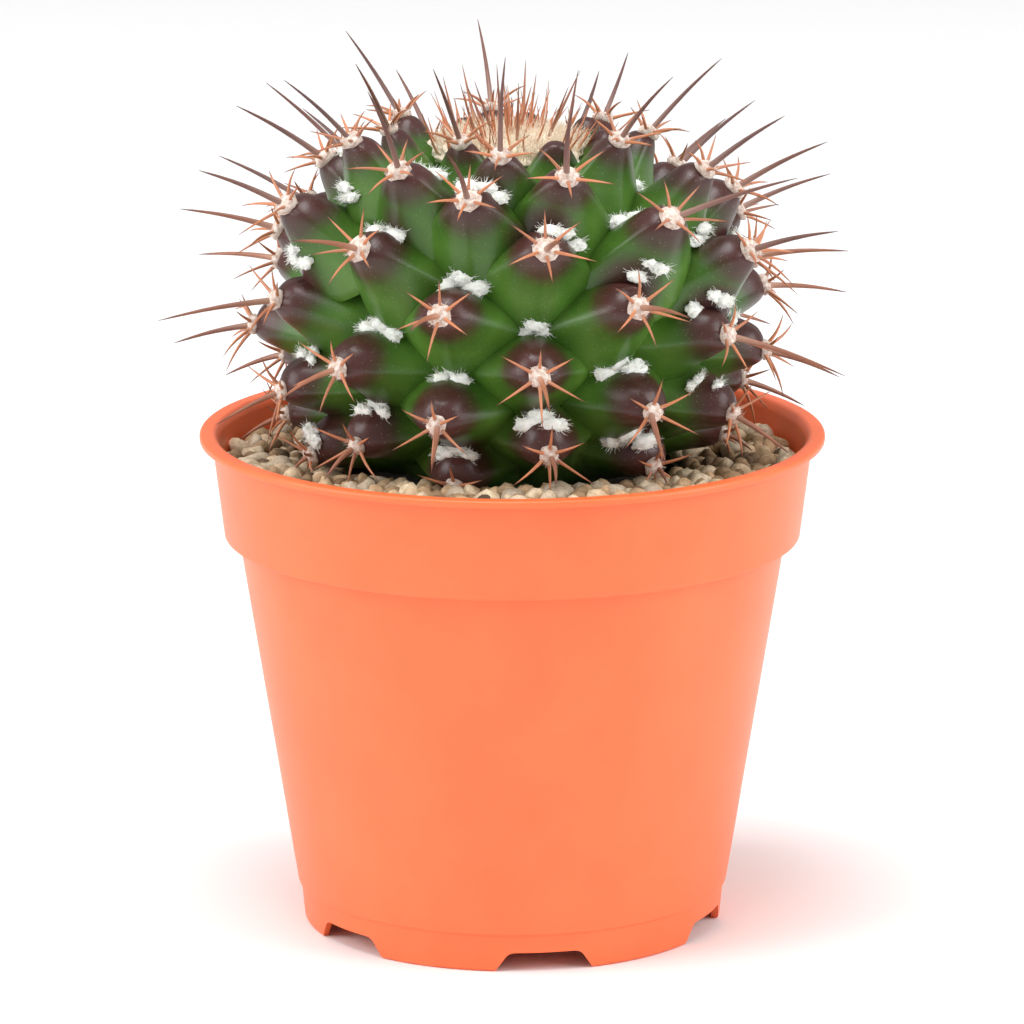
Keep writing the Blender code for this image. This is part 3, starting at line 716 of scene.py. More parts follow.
def central_spine(age, tubercle, foot):
    """The long spine in the middle of an areole, which droops a little below the tubercle's axis."""
    ageing = min(max(age / OLDEST_SPINED, 0.0), 1.0)
    length = CENTRAL_LENGTH + ageing * (OLD_CENTRAL_LENGTH - CENTRAL_LENGTH)
    side, lift, length = CENTRAL_LEANS.get(age, (0, CENTRAL_DROOP, length))
    _, axis, right, up = tubercle
    heading = axis + right * math.tan(math.radians(side)) + up * math.tan(math.radians(lift))
    tip = foot + heading.normalized() * length
    while not clears_the_bed(tip) and length > SHORTEST_CENTRAL:
        length *= SHORTENING
        tip = foot + heading.normalized() * length
    return foot, tip


def radial_spines(age, tubercle, foot, twist):
    """The ring of shorter spines around the central one."""
    chance = random.Random(100 + age)
    _, axis, right, up = tubercle
    spines = []
    for index in range(RADIAL_COUNT):
        turn = twist + index * math.tau / RADIAL_COUNT
        spread = RADIAL_SPREAD + chance.uniform(-SPREAD_VARIATION, SPREAD_VARIATION)
        outwards = right * math.cos(turn) + up * math.sin(turn)
        heading = axis * math.cos(spread) + outwards * math.sin(spread)
        length = RADIAL_LENGTH * growth(age) ** 0.3 * chance.uniform(*LENGTH_VARIATION)
        length *= 1.0 - (1.0 - UPPER_RADIAL_SCALE) * max(0.0, math.sin(turn))
        tip = foot + heading * length
        while not clears_the_bed(tip) and length > SHORTEST_RADIAL:
            length *= SHORTENING
            tip = foot + heading * length
        spines.append((foot, tip))
    return spines


def spine_room(spines, placed):
    """Smallest distance from these spines to those already placed nearby."""
    room = 1.0
    for spine in spines:
        for other in placed:
            if (spine[0] - other[0]).length < SPINE_REACH:
                room = min(room, segment_gap(spine, other))
    return room


def young_spines():
    """The spines that stand in the crown's wool, as the solid has them."""
    chance = random.Random(5)
    for _ in range(SOLID_WOOL_POINTS):
        chance.uniform(WOOL_LUMP, 1.0)
    spines = []
    for index in range(YOUNG_SPINES):
        angle = spiral_angle(SOLID_YOUNGEST_TUBERCLE - 1 - index)
        radius = YOUNG_SPINE_RING * (1.0 - index / YOUNG_SPINES) ** 0.7
        foot = around(radius, angle, WOOL_BOX[0][2] + WOOL_HEIGHT)
        lean = around(1.0, angle, 0.0) * chance.uniform(*YOUNG_SPINE_LEANS)
        length = chance.uniform(*YOUNG_SPINE_LENGTHS)
        spines.append((foot, foot + (Vector((0.0, 0.0, 1.0)) + lean).normalized() * length))
    return spines


def crown_spines():
    """Many short spines of the youngest areoles, bunched all over the crown's wool."""
    chance = random.Random(61)
    spines = []
    for _ in range(CROWN_SPINES):
        angle = chance.uniform(0.0, math.tau)
        share = chance.random() ** 0.6
        foot = around(CROWN_SPINE_RING * share, angle, WOOL_BOX[0][2] + 0.0045 - 0.0015 * share)
        way = around(1.0, angle + chance.uniform(-0.8, 0.8), 0.0)
        heading = Vector((0.0, 0.0, 1.0)) + way * (0.15 + 0.75 * share) * chance.uniform(0.4, 1.2)
        spines.append((foot, foot + heading.normalized() * chance.uniform(*CROWN_SPINE_LENGTHS)))
    return spines


def spine_plan():
    """Every areole's age, frame, central and radial spines, from the crown down."""
    placed = young_spines()
    plan = []
    for age in range(YOUNGEST_SPINED, OLDEST_TUBERCLE + 1):
        tubercle = tubercle_frame(age)
        foot = tubercle[0] + tubercle[1] * (GAP + AREOLE_HEIGHT / 2)
        central = central_spine(age, tubercle, foot)
        choices = []
        for turn in TWIST_TURNS:
            radials = radial_spines(age, tubercle, foot, RADIAL_TWIST + math.radians(turn))
            choices.append((min(spine_room(radials, placed), SPINE_ROOM), radials))
        _, radials = max(choices, key=lambda choice: choice[0])
        placed += radials + [central]
        plan.append((age, tubercle, central, radials))
    return plan


def spine_material(colours):
    """Horny spines: tan-pink, paler where young, darker at the tip, with fine streaks."""
    material, build, shader = new_material("spine horn", roughness=0.42)
    along = attribute_value(build, "along")
    body = ramp(
        build,
        along,
        (
            (0.00, tuple(colours.root)),
            (0.30, tuple(colours.middle)),
            (0.75, tuple(colours.middle)),
            (1.00, tuple(colours.point)),
        ),
    )
    old = ramp(
        build,
        along,
        ((0.0, tuple(colours.old_root)), (0.5, tuple(colours.old_middle)), (1.0, tuple(colours.point))),
    )
    tinted = mixed(build, attribute_value(build, "shade"), body, old)
    build.link(tinted, shader.inputs["Base Color"])
    bumped(build, shader, noise_value(build, 4000.0, 2.0), 0.1, 0.0001)
    return material


def make_spines(colours, plan):
    strands = Strands()
    chance = random.Random(11)
    for age, (_, axis, right, _), central, radials in plan:
        sunk = axis * AREOLE_HEIGHT * 0.9
        sideways = right * chance.uniform(-CENTRAL_BOW, CENTRAL_BOW)
        points = bent_line(central[0] - sunk, central[1], sideways + Vector((0, 0, CENTRAL_BOW)), 8)
        root = CENTRAL_HALF_WIDTH if growth(age) > 0.8 else YOUNG_CENTRAL_HALF_WIDTH
        aged = chance.uniform(0.85, 1.0) if age < 0 else chance.uniform(0.45, 0.8)
        strands.add(points, root, CENTRAL_POINT, aged, 0.7)
        for start, end in radials:
            bow = axis * chance.uniform(0.0001, 0.0006)
            line = bent_line(start - sunk, end, bow, 6)
            strands.add(line, RADIAL_HALF_WIDTH, POINT, chance.uniform(0.0, 0.35), 0.8)
    for start, end in young_spines():
        line = bent_line(start, end, Vector(), 6)
        strands.add(line, YOUNG_HALF_WIDTH, POINT, chance.uniform(0.0, 0.8), 0.8)
    for start, end in crown_spines():
        bow = Vector((chance.uniform(-1, 1), chance.uniform(-1, 1), 0.0)) * 0.0003
        line = bent_line(start, end, bow, 6)
        strands.add(line, CROWN_HALF_WIDTH, POINT, chance.uniform(0.0, 0.3), 0.8)
    mesh = strand_mesh(strands, "spines", 8, spine_material(colours))
    return finish_piece("spines", mesh, SPINE_NODES)


# Wool: felt pads on the tubercle tips, tufts in the creases, and the crown's cushion.

WOOL_HAIR = 0.00006
WOOL_HAIR_END = 0.00002
FRINGE_HAIRS = 46
FRINGE_LENGTH = 0.001
CROWN_HAIRS = 3200
CROWN_HAIR_SPREAD = 0.0016
CROWN_HAIR_RISE = 0.0022


def wool_material(name, colour, deep):
    material, build, shader = new_material(name, roughness=0.95)
    shader.inputs["Subsurface Weight"].default_value = 0.15
    shader.inputs["Subsurface Radius"].default_value = (0.001, 0.0008, 0.0006)
    # The deep colour is painted shade, laid over the wool in noise patches.
    shade = ramp(build, noise_value(build, 1800.0), ((0.3, tuple(deep)), (0.65, tuple(colour))))
    build.link(shade, shader.inputs["Base Color"])
    bumped(build, shader, noise_value(build, 6000.0, 5.0), 0.5, 0.0003)
    return material


def lump(bm, centre, axes, seed, subdivisions=3, rough=0.12):
    """Adds a soft closed lump with the given half-axis vectors."""
    made = bmesh.ops.create_icosphere(bm, subdivisions=subdivisions, radius=1.0)
    for vertex in made["verts"]:
        swell = 1.0 + rough * noise.noise(vertex.co * 2.3 + Vector((seed, 0.0, 0.0)))
        swell += rough * 0.5 * noise.noise(vertex.co * 6.0 + Vector((0.0, seed, 0.0)))
        spot = vertex.co * swell
        vertex.co = centre + axes[0] * spot.x + axes[1] * spot.y + axes[2] * spot.z


def make_areole_felt(colours, plan):
    """The felt pad of each areole, with a fringe of short hairs."""
    bm = bmesh.new()
    hairs = Strands()
    chance = random.Random(23)
    for age, (tip, axis, right, up), _, _ in plan:
        ageing = min(max(age / OLDEST_SPINED, 0.0), 1.0)
        radius = AREOLE_RADIUS * (1.0 - ageing * AREOLE_SHRINK) * growth(age) ** 0.4
        axes = (right * radius, up * radius, axis * AREOLE_HEIGHT)
        lump(bm, tip + axis * GAP, axes, age * 1.7, 2, 0.25)
        for _ in range(FRINGE_HAIRS):
            turn = chance.uniform(0.0, math.tau)
            reach = radius * chance.uniform(0.1, 1.0) ** 0.5
            way = right * math.cos(turn) + up * math.sin(turn)
            start = tip + way * reach * 0.9 + axis * AREOLE_HEIGHT * 0.5
            end = start + way * chance.uniform(0.1, 0.7) * FRINGE_LENGTH
            end += axis * chance.uniform(0.2, 0.9) * FRINGE_LENGTH
            hairs.add(bent_line(start, end, axis * 0.0001, 2), WOOL_HAIR, WOOL_HAIR_END, chance.random())
    material = wool_material("areole felt", colours.felt, colours.felt_painted_shade)
    felt = mesh_from(bm, "areole_felt")
    finish_piece("areole_felt", felt, (), material)
    finish_piece("areole_hairs", strand_mesh(hairs, "areole_hairs", 3, material))


TUFT_HALF_AXES = (0.0019, 0.0012, 0.0008)
TUFT_DROP = 0.0009
WING_REACH = 0.0017
WING_DROP = 0.0009
WING_HAIRS = 80
TUFT_HAIR = 0.00004
TUFT_HAIR_END = 0.000015
TUFT_HAIR_SPREAD = 0.0013
TUFT_HAIR_RISE = 0.0007
YOUNGEST_TUFT = -24
# Where the search for the skin under a tuft starts, and how far it goes.
PROBE_START = 0.004
PROBE_REACH = 0.02


def tuft(bm, hairs, surface, chance, frame_of_tuft, full):
    """A flat woolly patch of three lumps that arch over a crease, frayed all round."""
    spot, axis, right, up = frame_of_tuft
    for wing in (-1.0, 0.0, 1.0):
        place = spot + (right * wing * WING_REACH - up * abs(wing) * WING_DROP) * full
        hit, _, _, _ = surface.ray_cast(place + axis * PROBE_START, -axis, PROBE_REACH)
        if hit is None or hit.z < GRIT_BOX[1][2]:
            continue
        size = full * chance.uniform(0.75, 1.1)
        halves = [half * size for half in TUFT_HALF_AXES]
        lump(bm, hit, (right * halves[0], up * halves[1], axis * halves[2]), chance.uniform(0.0, 90.0), 3, 0.45)
        for _ in range(int(WING_HAIRS * full)):
            turn = chance.uniform(0.0, math.tau)
            reach = chance.random() ** 0.4
            way = right * math.cos(turn) * halves[0] + up * math.sin(turn) * halves[1]
            rise = math.sqrt(max(0.0, 1.0 - reach * reach)) * halves[2]
            start = hit + way * reach * 0.9 + axis * rise * 0.9
            spread = way.normalized() * chance.uniform(0.2, 1.0) * TUFT_HAIR_SPREAD
            end = start + spread + axis * chance.uniform(-0.1, 0.6) * TUFT_HAIR_RISE
            bend = (right + up) * chance.uniform(-0.00015, 0.00015)
            hairs.add(bent_line(start, end, bend, 2), TUFT_HAIR, TUFT_HAIR_END, 0.0)


def make_axil_wool(colours, stem):
    """White tufts in the creases above the tubercles."""
    surface = BVHTree.FromObject(stem, bpy.context.evaluated_depsgraph_get())
    chance = random.Random(31)
    bm = bmesh.new()
    hairs = Strands()
    for age in range(YOUNGEST_TUFT, OLDEST_TUBERCLE + 1):
        frames = [tubercle_frame(number) for number in (age, age - 7, age - 8, age - 15)]
        spot = sum((each[0] for each in frames), Vector()) / len(frames)
        axis = sum((each[1] for each in frames), Vector()).normalized()
        right = Vector((0, 0, 1)).cross(axis).normalized()
        up = axis.cross(right)
        full = chance.uniform(0.7, 1.1) * growth(age)
        tuft(bm, hairs, surface, chance, (spot - up * TUFT_DROP * full, axis, right, up), full)
    material = wool_material("axil wool", colours.axil, colours.axil_painted_shade)
    finish_piece("axil_wool", mesh_from(bm, "axil_wool"), (), material)
    finish_piece("axil_hairs", strand_mesh(hairs, "axil_hairs", 3, material))


def make_crown_wool(colours):
    """The cream cushion in the middle of the crown, shaggy with hairs."""
    bm = bmesh.new()
    centre = (Vector(WOOL_BOX[0]) + Vector(WOOL_BOX[1])) / 2
    foot = WOOL_BOX[0][2]
    half = WOOL_HEIGHT / 2
    centre.z = foot + half
    axes = (Vector((CROWN_RADIUS, 0, 0)), Vector((0, CROWN_RADIUS, 0)), Vector((0, 0, half)))
    lump(bm, centre, axes, 4.2, 5, 0.16)
    hairs = Strands()
    chance = random.Random(47)
    for _ in range(CROWN_HAIRS):
        angle = chance.uniform(0.0, math.tau)
        reach = chance.random() ** 0.5
        rise = math.sqrt(max(0.0, 1.0 - reach * reach)) * 0.8
        start = around(CROWN_RADIUS * reach, angle, foot + half * (1.0 + rise))
        way = around(1.0, angle + chance.uniform(-0.9, 0.9), 0.0)
        end = start + way * chance.uniform(-0.3, 1.0) * CROWN_HAIR_SPREAD
        end.z += chance.uniform(0.2, 1.0) * CROWN_HAIR_RISE
        bend = way * chance.uniform(-0.0003, 0.0003)
        hairs.add(bent_line(start, end, bend, 3), WOOL_HAIR, WOOL_HAIR_END, 0.0)
    material = wool_material("crown wool", colours.crown, colours.crown_painted_shade)
    finish_piece("crown_wool_cushion", mesh_from(bm, "crown_wool_cushion"), ("crown_wool",), material)
    finish_piece("crown_hairs", strand_mesh(hairs, "crown_hairs", 3, material))


# The gravel and the soil.

PEBBLE_KINDS = 6
GRAIN_DENSITY = 900000.0
GRAIN_SIZES = (0.78, 1.22)
LAYER_DROP = 0.0009
BED_SIDES = 72
BED_INNER_RADIUS = 0.0235
BED_INNER_Z = 0.0626
BED_SLOPE_RADIUS = 0.0325
BED_OUTER_RADIUS = BAND_TOP_RADIUS - 0.0026
FRONT_PILE = 0.0022
SHEET_INNER_RADIUS = 0.0225
SHEET_WIDTH = 0.0167
SHEET_STEPS = 12
SHEET_FOOT = 0.0002
SHEET_TOP = 0.0014
SHEET_RISE = 0.0012


def pebble(index):
    """One rounded, slightly angular grain of unit half length."""
    bm = bmesh.new()
    bmesh.ops.create_icosphere(bm, subdivisions=2, radius=1.0)
    for vertex in bm.verts:
        away = Vector((index * 7.3, 1.0, 0.0))
        vertex.co *= 1.0 + 0.42 * noise.noise(vertex.co * 0.9 + away)
        vertex.co.z *= 0.74
        vertex.co.x *= 1.12
    return mesh_from(bm, f"pebble_{index}")


def gravel_tree():
    """Scatters grains over a bed, turned and sized at random, each with its own shade."""
    inputs = (
        ("Grains", "NodeSocketCollection"),
        ("Grain Radius", "NodeSocketFloat"),
        ("Spacing", "NodeSocketFloat"),
        ("Seed", "NodeSocketInt"),
        ("Material", "NodeSocketMaterial"),
    )
    tree, build = geometry_tree("scattered gravel", inputs)
    given = build.add("NodeGroupInput").outputs
    values = {
        "Mesh": given["Geometry"],
        "Distance Min": given["Spacing"],
        "Density Max": GRAIN_DENSITY,
        "Seed": given["Seed"],
    }
    spread = build.add("GeometryNodeDistributePointsOnFaces", values, distribute_method="POISSON")
    values = {"Separate Children": True, "Reset Children": True, "Collection": given["Grains"]}
    kinds = build.add("GeometryNodeCollectionInfo", values)
    turns = {1: (math.tau, math.tau, math.tau)}
    turned = build.add("FunctionNodeRandomValue", turns, data_type="FLOAT_VECTOR")
    sizes = build.add("FunctionNodeRandomValue", {2: GRAIN_SIZES[0], 3: GRAIN_SIZES[1]}, data_type="FLOAT")
    values = {0: sizes.outputs[1], 1: given["Grain Radius"]}
    scaled = build.add("ShaderNodeMath", values, operation="MULTIPLY")
    values = {
        "Points": spread.outputs["Points"],
        "Instance": kinds.outputs[0],
        "Pick Instance": True,
        "Rotation": turned.outputs[0],
        "Scale": scaled.outputs[0],
    }
    placed = build.add("GeometryNodeInstanceOnPoints", values)
    shade = build.add("FunctionNodeRandomValue", data_type="FLOAT")
    values = {"Geometry": placed.outputs[0], "Name": "shade", "Value": shade.outputs[1]}
    stored = build.add("GeometryNodeStoreNamedAttribute", values, data_type="FLOAT", domain="INSTANCE")
    finish_tree(build, stored.outputs[0], given["Material"])
    return tree


def gravel_material(colours):
    """Dry stone: each grain its own tan, cream or grey-brown, mottled."""
    material, build, shader = new_material("gravel", roughness=0.8)
    grain = ramp(
        build,
        attribute_value(build, "shade"),
        (
            (0.00, tuple(colours.dark)),
            (0.25, tuple(colours.brown)),
            (0.55, tuple(colours.tan)),
            (0.80, tuple(colours.cream)),
            (1.00, tuple(colours.grey)),
        ),
    )
    mottle = ramp(build, noise_value(build, 1400.0, 6.0), ((0.3, (0.6, 0.54, 0.48)), (0.7, (1.0, 1.0, 1.0))))
    build.link(mixed(build, 1.0, grain, mottle, "MULTIPLY"), shader.inputs["Base Color"])
    bumped(build, shader, noise_value(build, 3000.0, 6.0), 0.45, 0.0003)
    return material


def bed_mesh(inner_height, height):
    """An open ring that the grains are scattered on, dipping under the plant and heaped at the front."""
    bm = bmesh.new()
    rings = []
    for radius in (BED_INNER_RADIUS, BED_SLOPE_RADIUS, BED_OUTER_RADIUS):
        level = inner_height if radius == BED_INNER_RADIUS else height
        ring = []
        for step in range(BED_SIDES):
            angle = step * math.tau / BED_SIDES
            ring.append(bm.verts.new(around(radius, angle, level + FRONT_PILE * clamped(math.cos(angle)))))
        rings.append(ring)
    for ring, following in zip(rings, rings[1:]):
        for index in range(BED_SIDES):
            after = (index + 1) % BED_SIDES
            bm.faces.new((ring[index], ring[after], following[after], following[index]))
    return mesh_from(bm, "bed")


def make_gravel(settings):
    grains = bpy.data.collections.new("grains")
    kinds = [bpy.data.objects.new(f"pebble_{index}", pebble(index)) for index in range(PEBBLE_KINDS)]
    for kind in kinds:
        grains.objects.link(kind)
    top = GRIT_BOX[1][2]
    bm = bmesh.new()
    material = gravel_material(settings)
    for layer_below in range(2):
        drop = -LAYER_DROP * layer_below
        middle = top - settings.grain_radius * 0.8 + drop
        bed = add_object("bed", bed_mesh(BED_INNER_Z + drop, middle))
        values = {
            "Grains": grains,
            "Grain Radius": settings.grain_radius,
            "Spacing": settings.grain_spacing,
            "Seed": settings.seed + layer_below,
            "Material": material,
        }
        layer = grown(bed, gravel_tree(), values, "gravel_layer")
        bm.from_mesh(layer)
    remove(*kinds)
    bpy.data.collections.remove(grains)
    mesh = mesh_from(bm, "gravel")
    finish_piece("gravel", mesh, ("grit_top_dressing",), material)


def soil_material():
    """Dark crumbly soil."""
    material, build, shader = new_material("potting soil", roughness=0.95)
    crumbs = noise_value(build, 900.0, 8.0, 0.7)
    shade = ramp(build, crumbs, ((0.35, (0.012, 0.008, 0.005)), (0.7, (0.065, 0.042, 0.026))))
    build.link(shade, shader.inputs["Base Color"])
    bumped(build, shader, crumbs, 0.9, 0.0012)
    return material


def make_soil():
    """Gives the soil solid its finish and lays a dark crumbly sheet under the gravel."""
    material = soil_material()
    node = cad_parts["potting_mix"]
    node.data.materials.clear()
    node.data.materials.append(material)
    low = GRIT_BOX[0][2] + SHEET_FOOT
    top = GRIT_BOX[0][2] + SHEET_TOP
    profile = []
    for step in range(SHEET_STEPS + 1):
        share = step / SHEET_STEPS
        profile.append((SHEET_INNER_RADIUS + SHEET_WIDTH * share, top + SHEET_RISE * share))
    profile += [(SHEET_INNER_RADIUS + SHEET_WIDTH, low), (SHEET_INNER_RADIUS, low), (SHEET_INNER_RADIUS, top)]
    mesh = turned_mesh("soil_sheet", profile, 128)
    for vertex in mesh.vertices:
        vertex.co.z += 0.0002 * noise.noise(vertex.co * 700.0)
    mesh.shade_smooth()
    finish_piece("soil_sheet", mesh, (), material)


# The pot.


def body_radius(height):
    """Outer radius of the tapering body below the band."""
    share = (height - FOOT_LINE_Z) / (BAND_FOOT_Z - FOOT_LINE_Z)
    return BODY_FOOT_RADIUS + share * (BODY_TOP_RADIUS - BODY_FOOT_RADIUS)


def band_radius(height):
    """Outer radius of the band between the step and the lip."""
    share = (height - BAND_FOOT_Z) / (POT_HEIGHT - LIP_THICKNESS - BAND_FOOT_Z)
    return BAND_FOOT_RADIUS + share * (BAND_TOP_RADIUS - BAND_FOOT_RADIUS)


def rounded(points, radii, steps=5):
    """The outline through the points with each corner rounded by its own radius."""
    outline = [points[0]]
    for before, corner, after, radius in zip(points, points[1:], points[2:], radii):
        if radius <= 0.0:
            outline.append(corner)
            continue
        here = Vector(corner)
        back = (Vector(before) - here).normalized()
        ahead = (Vector(after) - here).normalized()
        for step in range(steps + 1):
            share = step / steps
            pull = radius * (1 - share) ** 2 * back + radius * share**2 * ahead
            outline.append(tuple(here + pull))
    outline.append(points[-1])
    return outline


def pot_profile():
    """Half section, from the middle of the floor, up the inside, over the lip and down the outside."""
    lip_under = POT_HEIGHT - LIP_THICKNESS
    inner_floor = FLOOR_Z + WALL
    corners = [
        ((0.0, inner_floor), 0.0),
        ((body_radius(inner_floor) - WALL, inner_floor), 0.0010),
        ((body_radius(LEDGE_FOOT_Z) - WALL, LEDGE_FOOT_Z), 0.0004),
        ((band_radius(LEDGE_TOP_Z) - WALL, LEDGE_TOP_Z), 0.0004),
        ((band_radius(lip_under) - WALL, lip_under), 0.0004),
        ((BAND_TOP_RADIUS - WALL * 0.4, POT_HEIGHT), 0.0005),
        ((LIP_RADIUS, POT_HEIGHT), 0.00045),
        ((LIP_RADIUS, lip_under), 0.00035),
        ((BAND_TOP_RADIUS, lip_under), 0.00015),
        ((BAND_FOOT_RADIUS, BAND_FOOT_Z), 0.00025),
        ((BODY_TOP_RADIUS, BAND_FOOT_Z), 0.00025),
        ((BODY_FOOT_RADIUS, FOOT_LINE_Z), 0.00015),
        ((FOOT_TOP_RADIUS, FOOT_LINE_Z - 0.0002), 0.00008),
        ((FOOT_RADIUS, 0.0), 0.0005),
        ((FOOT_RADIUS - WALL, 0.0), 0.0002),
        ((FOOT_TOP_RADIUS - 1.2 * WALL, FLOOR_Z), 0.0003),
        ((0.0, FLOOR_Z), 0.0),
    ]
    points = [point for point, _ in corners]
    radii = [radius for _, radius in corners[1:-1]]
    return rounded(points, radii)


def notch_mesh(angle):
    """A bar with a rounded trapezoid section that cuts one notch through the foot ring."""
    foot_half = FOOT_RADIUS * math.sin(NOTCH_FOOT_ANGLE / 2)
    top_half = FOOT_RADIUS * math.sin(NOTCH_TOP_ANGLE / 2)
    slope = (foot_half - top_half) / NOTCH_HEIGHT
    low = -NOTCH_HEIGHT
    far = foot_half + slope * NOTCH_HEIGHT
    high = NOTCH_HEIGHT
    points = [(0.0, low), (far, low), (top_half, high), (-top_half, high), (-far, low), (0.0, low)]
    outline = rounded(points, [0.0, NOTCH_CORNER, NOTCH_CORNER, 0.0], 6)[:-1]
    bm = bmesh.new()
    front = around(1.0, angle, 0.0)
    side = around(1.0, angle + math.pi / 2, 0.0)
    foot = front * NOTCH_INNER_RADIUS
    ring = [bm.verts.new(foot + side * across + Vector((0, 0, up))) for across, up in outline]
    face = bm.faces.new(ring)
    pushed = bmesh.ops.extrude_face_region(bm, geom=[face])
    moved = [part for part in pushed["geom"] if isinstance(part, bmesh.types.BMVert)]
    bmesh.ops.translate(bm, verts=moved, vec=front * NOTCH_DEPTH)
    bmesh.ops.recalc_face_normals(bm, faces=bm.faces)
    return mesh_from(bm, "notch")


def drain_mesh(angle):
    """A rod that drills one drain hole through the floor."""
    bm = bmesh.new()
    bmesh.ops.create_cone(
        bm,
        cap_ends=True,
        segments=DRAIN_SIDES,
        radius1=DRAIN_RADIUS,
        radius2=DRAIN_RADIUS,
        depth=DRAIN_CUTTER_LENGTH,
    )
    bmesh.ops.translate(bm, verts=bm.verts, vec=around(DRAIN_RING_RADIUS, angle, FLOOR_Z + WALL / 2))
    return mesh_from(bm, "drain")


def pot_material(colours):
    """Satin moulded plastic: faintly uneven orange with a very fine grain."""
    material, build, shader = new_material("pot plastic", roughness=0.40)
    shader.inputs["Subsurface Weight"].default_value = 0.12
    shader.inputs["Subsurface Radius"].default_value = (0.002, 0.0007, 0.0004)
    cloud = ramp(
        build,
        noise_value(build, 90.0, 5.0),
        ((0.3, tuple(colours.plastic)), (0.7, tuple(colours.plastic_light))),
    )
    build.link(cloud, shader.inputs["Base Color"])
    bumped(build, shader, noise_value(build, 5200.0, 3.0), 0.10, 0.0002)
    return material


def make_pot(colours):
    cutters = []
    for index in range(NOTCH_COUNT):
        angle = NOTCH_FIRST_ANGLE + index * math.tau / NOTCH_COUNT
        cutters += [notch_mesh(angle), drain_mesh(angle)]
    shell = turned_mesh("pot_shell", pot_profile(), POT_SIDES)
    mesh = combined_mesh("pot_shell", shell, [("DIFFERENCE", cutters)])
    mesh.shade_smooth()
    mesh.set_sharp_from_angle(angle=math.radians(32))
    finish_piece("pot_shell", mesh, ("pot",), pot_material(colours))


# The stage.


def make_stage():
    """A plain pale floor, soft studio light and the camera."""
    scene = bpy.context.scene
    scene.view_settings.view_transform = "Standard"
    world = bpy.data.worlds.new("studio")
    scene.world = world
    world.use_nodes = True
    world.node_tree.nodes["Background"].inputs["Color"].default_value = (1.0, 1.0, 1.0, 1.0)
    world.node_tree.nodes["Background"].inputs["Strength"].default_value = 0.50
    bm = bmesh.new()
    bmesh.ops.create_grid(bm, x_segments=1, y_segments=1, size=6.0)
    floor = add_object("floor", mesh_from(bm, "floor"))
    material, _, shader = new_material("pale floor", roughness=0.6)
    shader.inputs["Base Color"].default_value = (0.92, 0.92, 0.92, 1.0)
    floor.data.materials.append(material)
    lamps = (
        ("left_light", (-1.25, -0.40, 0.75), 1.0, 14.0),
        ("right_light", (1.25, -0.40, 0.75), 1.0, 14.0),
        ("top_light", (-0.15, -0.30, 1.60), 0.8, 17.0),
    )
    for name, place, size, power in lamps:
        lamp = bpy.data.lights.new(name, "AREA")
        lamp.size = size
        lamp.energy = power
        item = bpy.data.objects.new(name, lamp)
        item.location = place
        item.rotation_euler = (Vector((0.0, 0.0, 0.06)) - Vector(place)).to_track_quat("-Z", "Y").to_euler()
        scene.collection.objects.link(item)
    camera = bpy.data.cameras.new("camera")
    camera.lens = CAMERA_LENS
    camera.sensor_width = 36.0
    camera.clip_start = 0.05
    item = bpy.data.objects.new("camera", camera)
    item.location = CAMERA_PLACE
    item.rotation_euler = (CAMERA_PITCH, 0.0, 0.0)
    scene.collection.objects.link(item)
    scene.camera = item


# The add-on.


def colour_property(label, value, about):
    return bpy.props.FloatVectorProperty(
        name=label, description=about, subtype="COLOR", size=3, min=0.0, max=1.0, default=value
    )


class CactusStemColours(bpy.types.PropertyGroup):
    skin: colour_property("Skin", (0.046, 0.115, 0.012), "Green of the tubercles' flanks")
    bright: colour_property("Bright skin", (0.080, 0.190, 0.026), "Brighter green far from the tips")
    crease: colour_property("Creases", (0.130, 0.230, 0.060), "Lighter green in the creases")
    blush: colour_property("Blush", (0.050, 0.036, 0.014), "Where green turns to purple-brown")
    tip: colour_property("Tips", (0.060, 0.018, 0.016), "Purple-brown of the tubercle tips")


class CactusSpineColours(bpy.types.PropertyGroup):
    root: colour_property("Root", (0.80, 0.50, 0.30), "Foot of a young spine")
    middle: colour_property("Middle", (0.60, 0.22, 0.10), "Middle of a young spine")
    point: colour_property("Point", (0.09, 0.028, 0.020), "Dark points of all spines")
    old_root: colour_property("Old root", (0.25, 0.15, 0.13), "Foot of a long central spine")
    old_middle: colour_property("Old middle", (0.095, 0.045, 0.042), "Middle of a long central spine")


class CactusWoolColours(bpy.types.PropertyGroup):
    felt: colour_property("Felt", (0.86, 0.77, 0.69), "Areole felt")
    # Each deep colour is painted shade that its wool takes in noise patches; in the felt it stands for the
    # shade in its pits.
    felt_painted_shade: colour_property("Felt, deep", (0.50, 0.33, 0.26), "Pits in the areole felt")
    axil: colour_property("Tufts", (0.95, 0.96, 0.92), "White wool between the tubercles")
    axil_painted_shade: colour_property("Tufts, deep", (0.84, 0.86, 0.78), "Shaded wool between the tubercles")
    crown: colour_property("Crown", (0.97, 0.90, 0.76), "Cream wool of the crown")
    crown_painted_shade: colour_property("Crown, deep", (0.90, 0.70, 0.50), "Shaded wool of the crown")


class CactusBed(bpy.types.PropertyGroup):
    grain_radius: bpy.props.FloatProperty(
        name="Grain radius", description="Half the width of a gravel grain", default=0.00145, unit="LENGTH"
    )
    grain_spacing: bpy.props.FloatProperty(
        name="Grain spacing", description="Least distance between grains", default=0.00215, unit="LENGTH"
    )
    seed: bpy.props.IntProperty(name="Seed", description="Which scatter of grains is made", default=7)
    dark: colour_property("Dark", (0.11, 0.072, 0.045), "Darkest grains")
    brown: colour_property("Brown", (0.36, 0.23, 0.125), "Grey-brown grains")
    tan: colour_property("Tan", (0.66, 0.45, 0.26), "Tan grains")
    cream: colour_property("Cream", (0.88, 0.73, 0.52), "Cream grains")
    grey: colour_property("Grey", (0.58, 0.48, 0.37), "Grey grains")


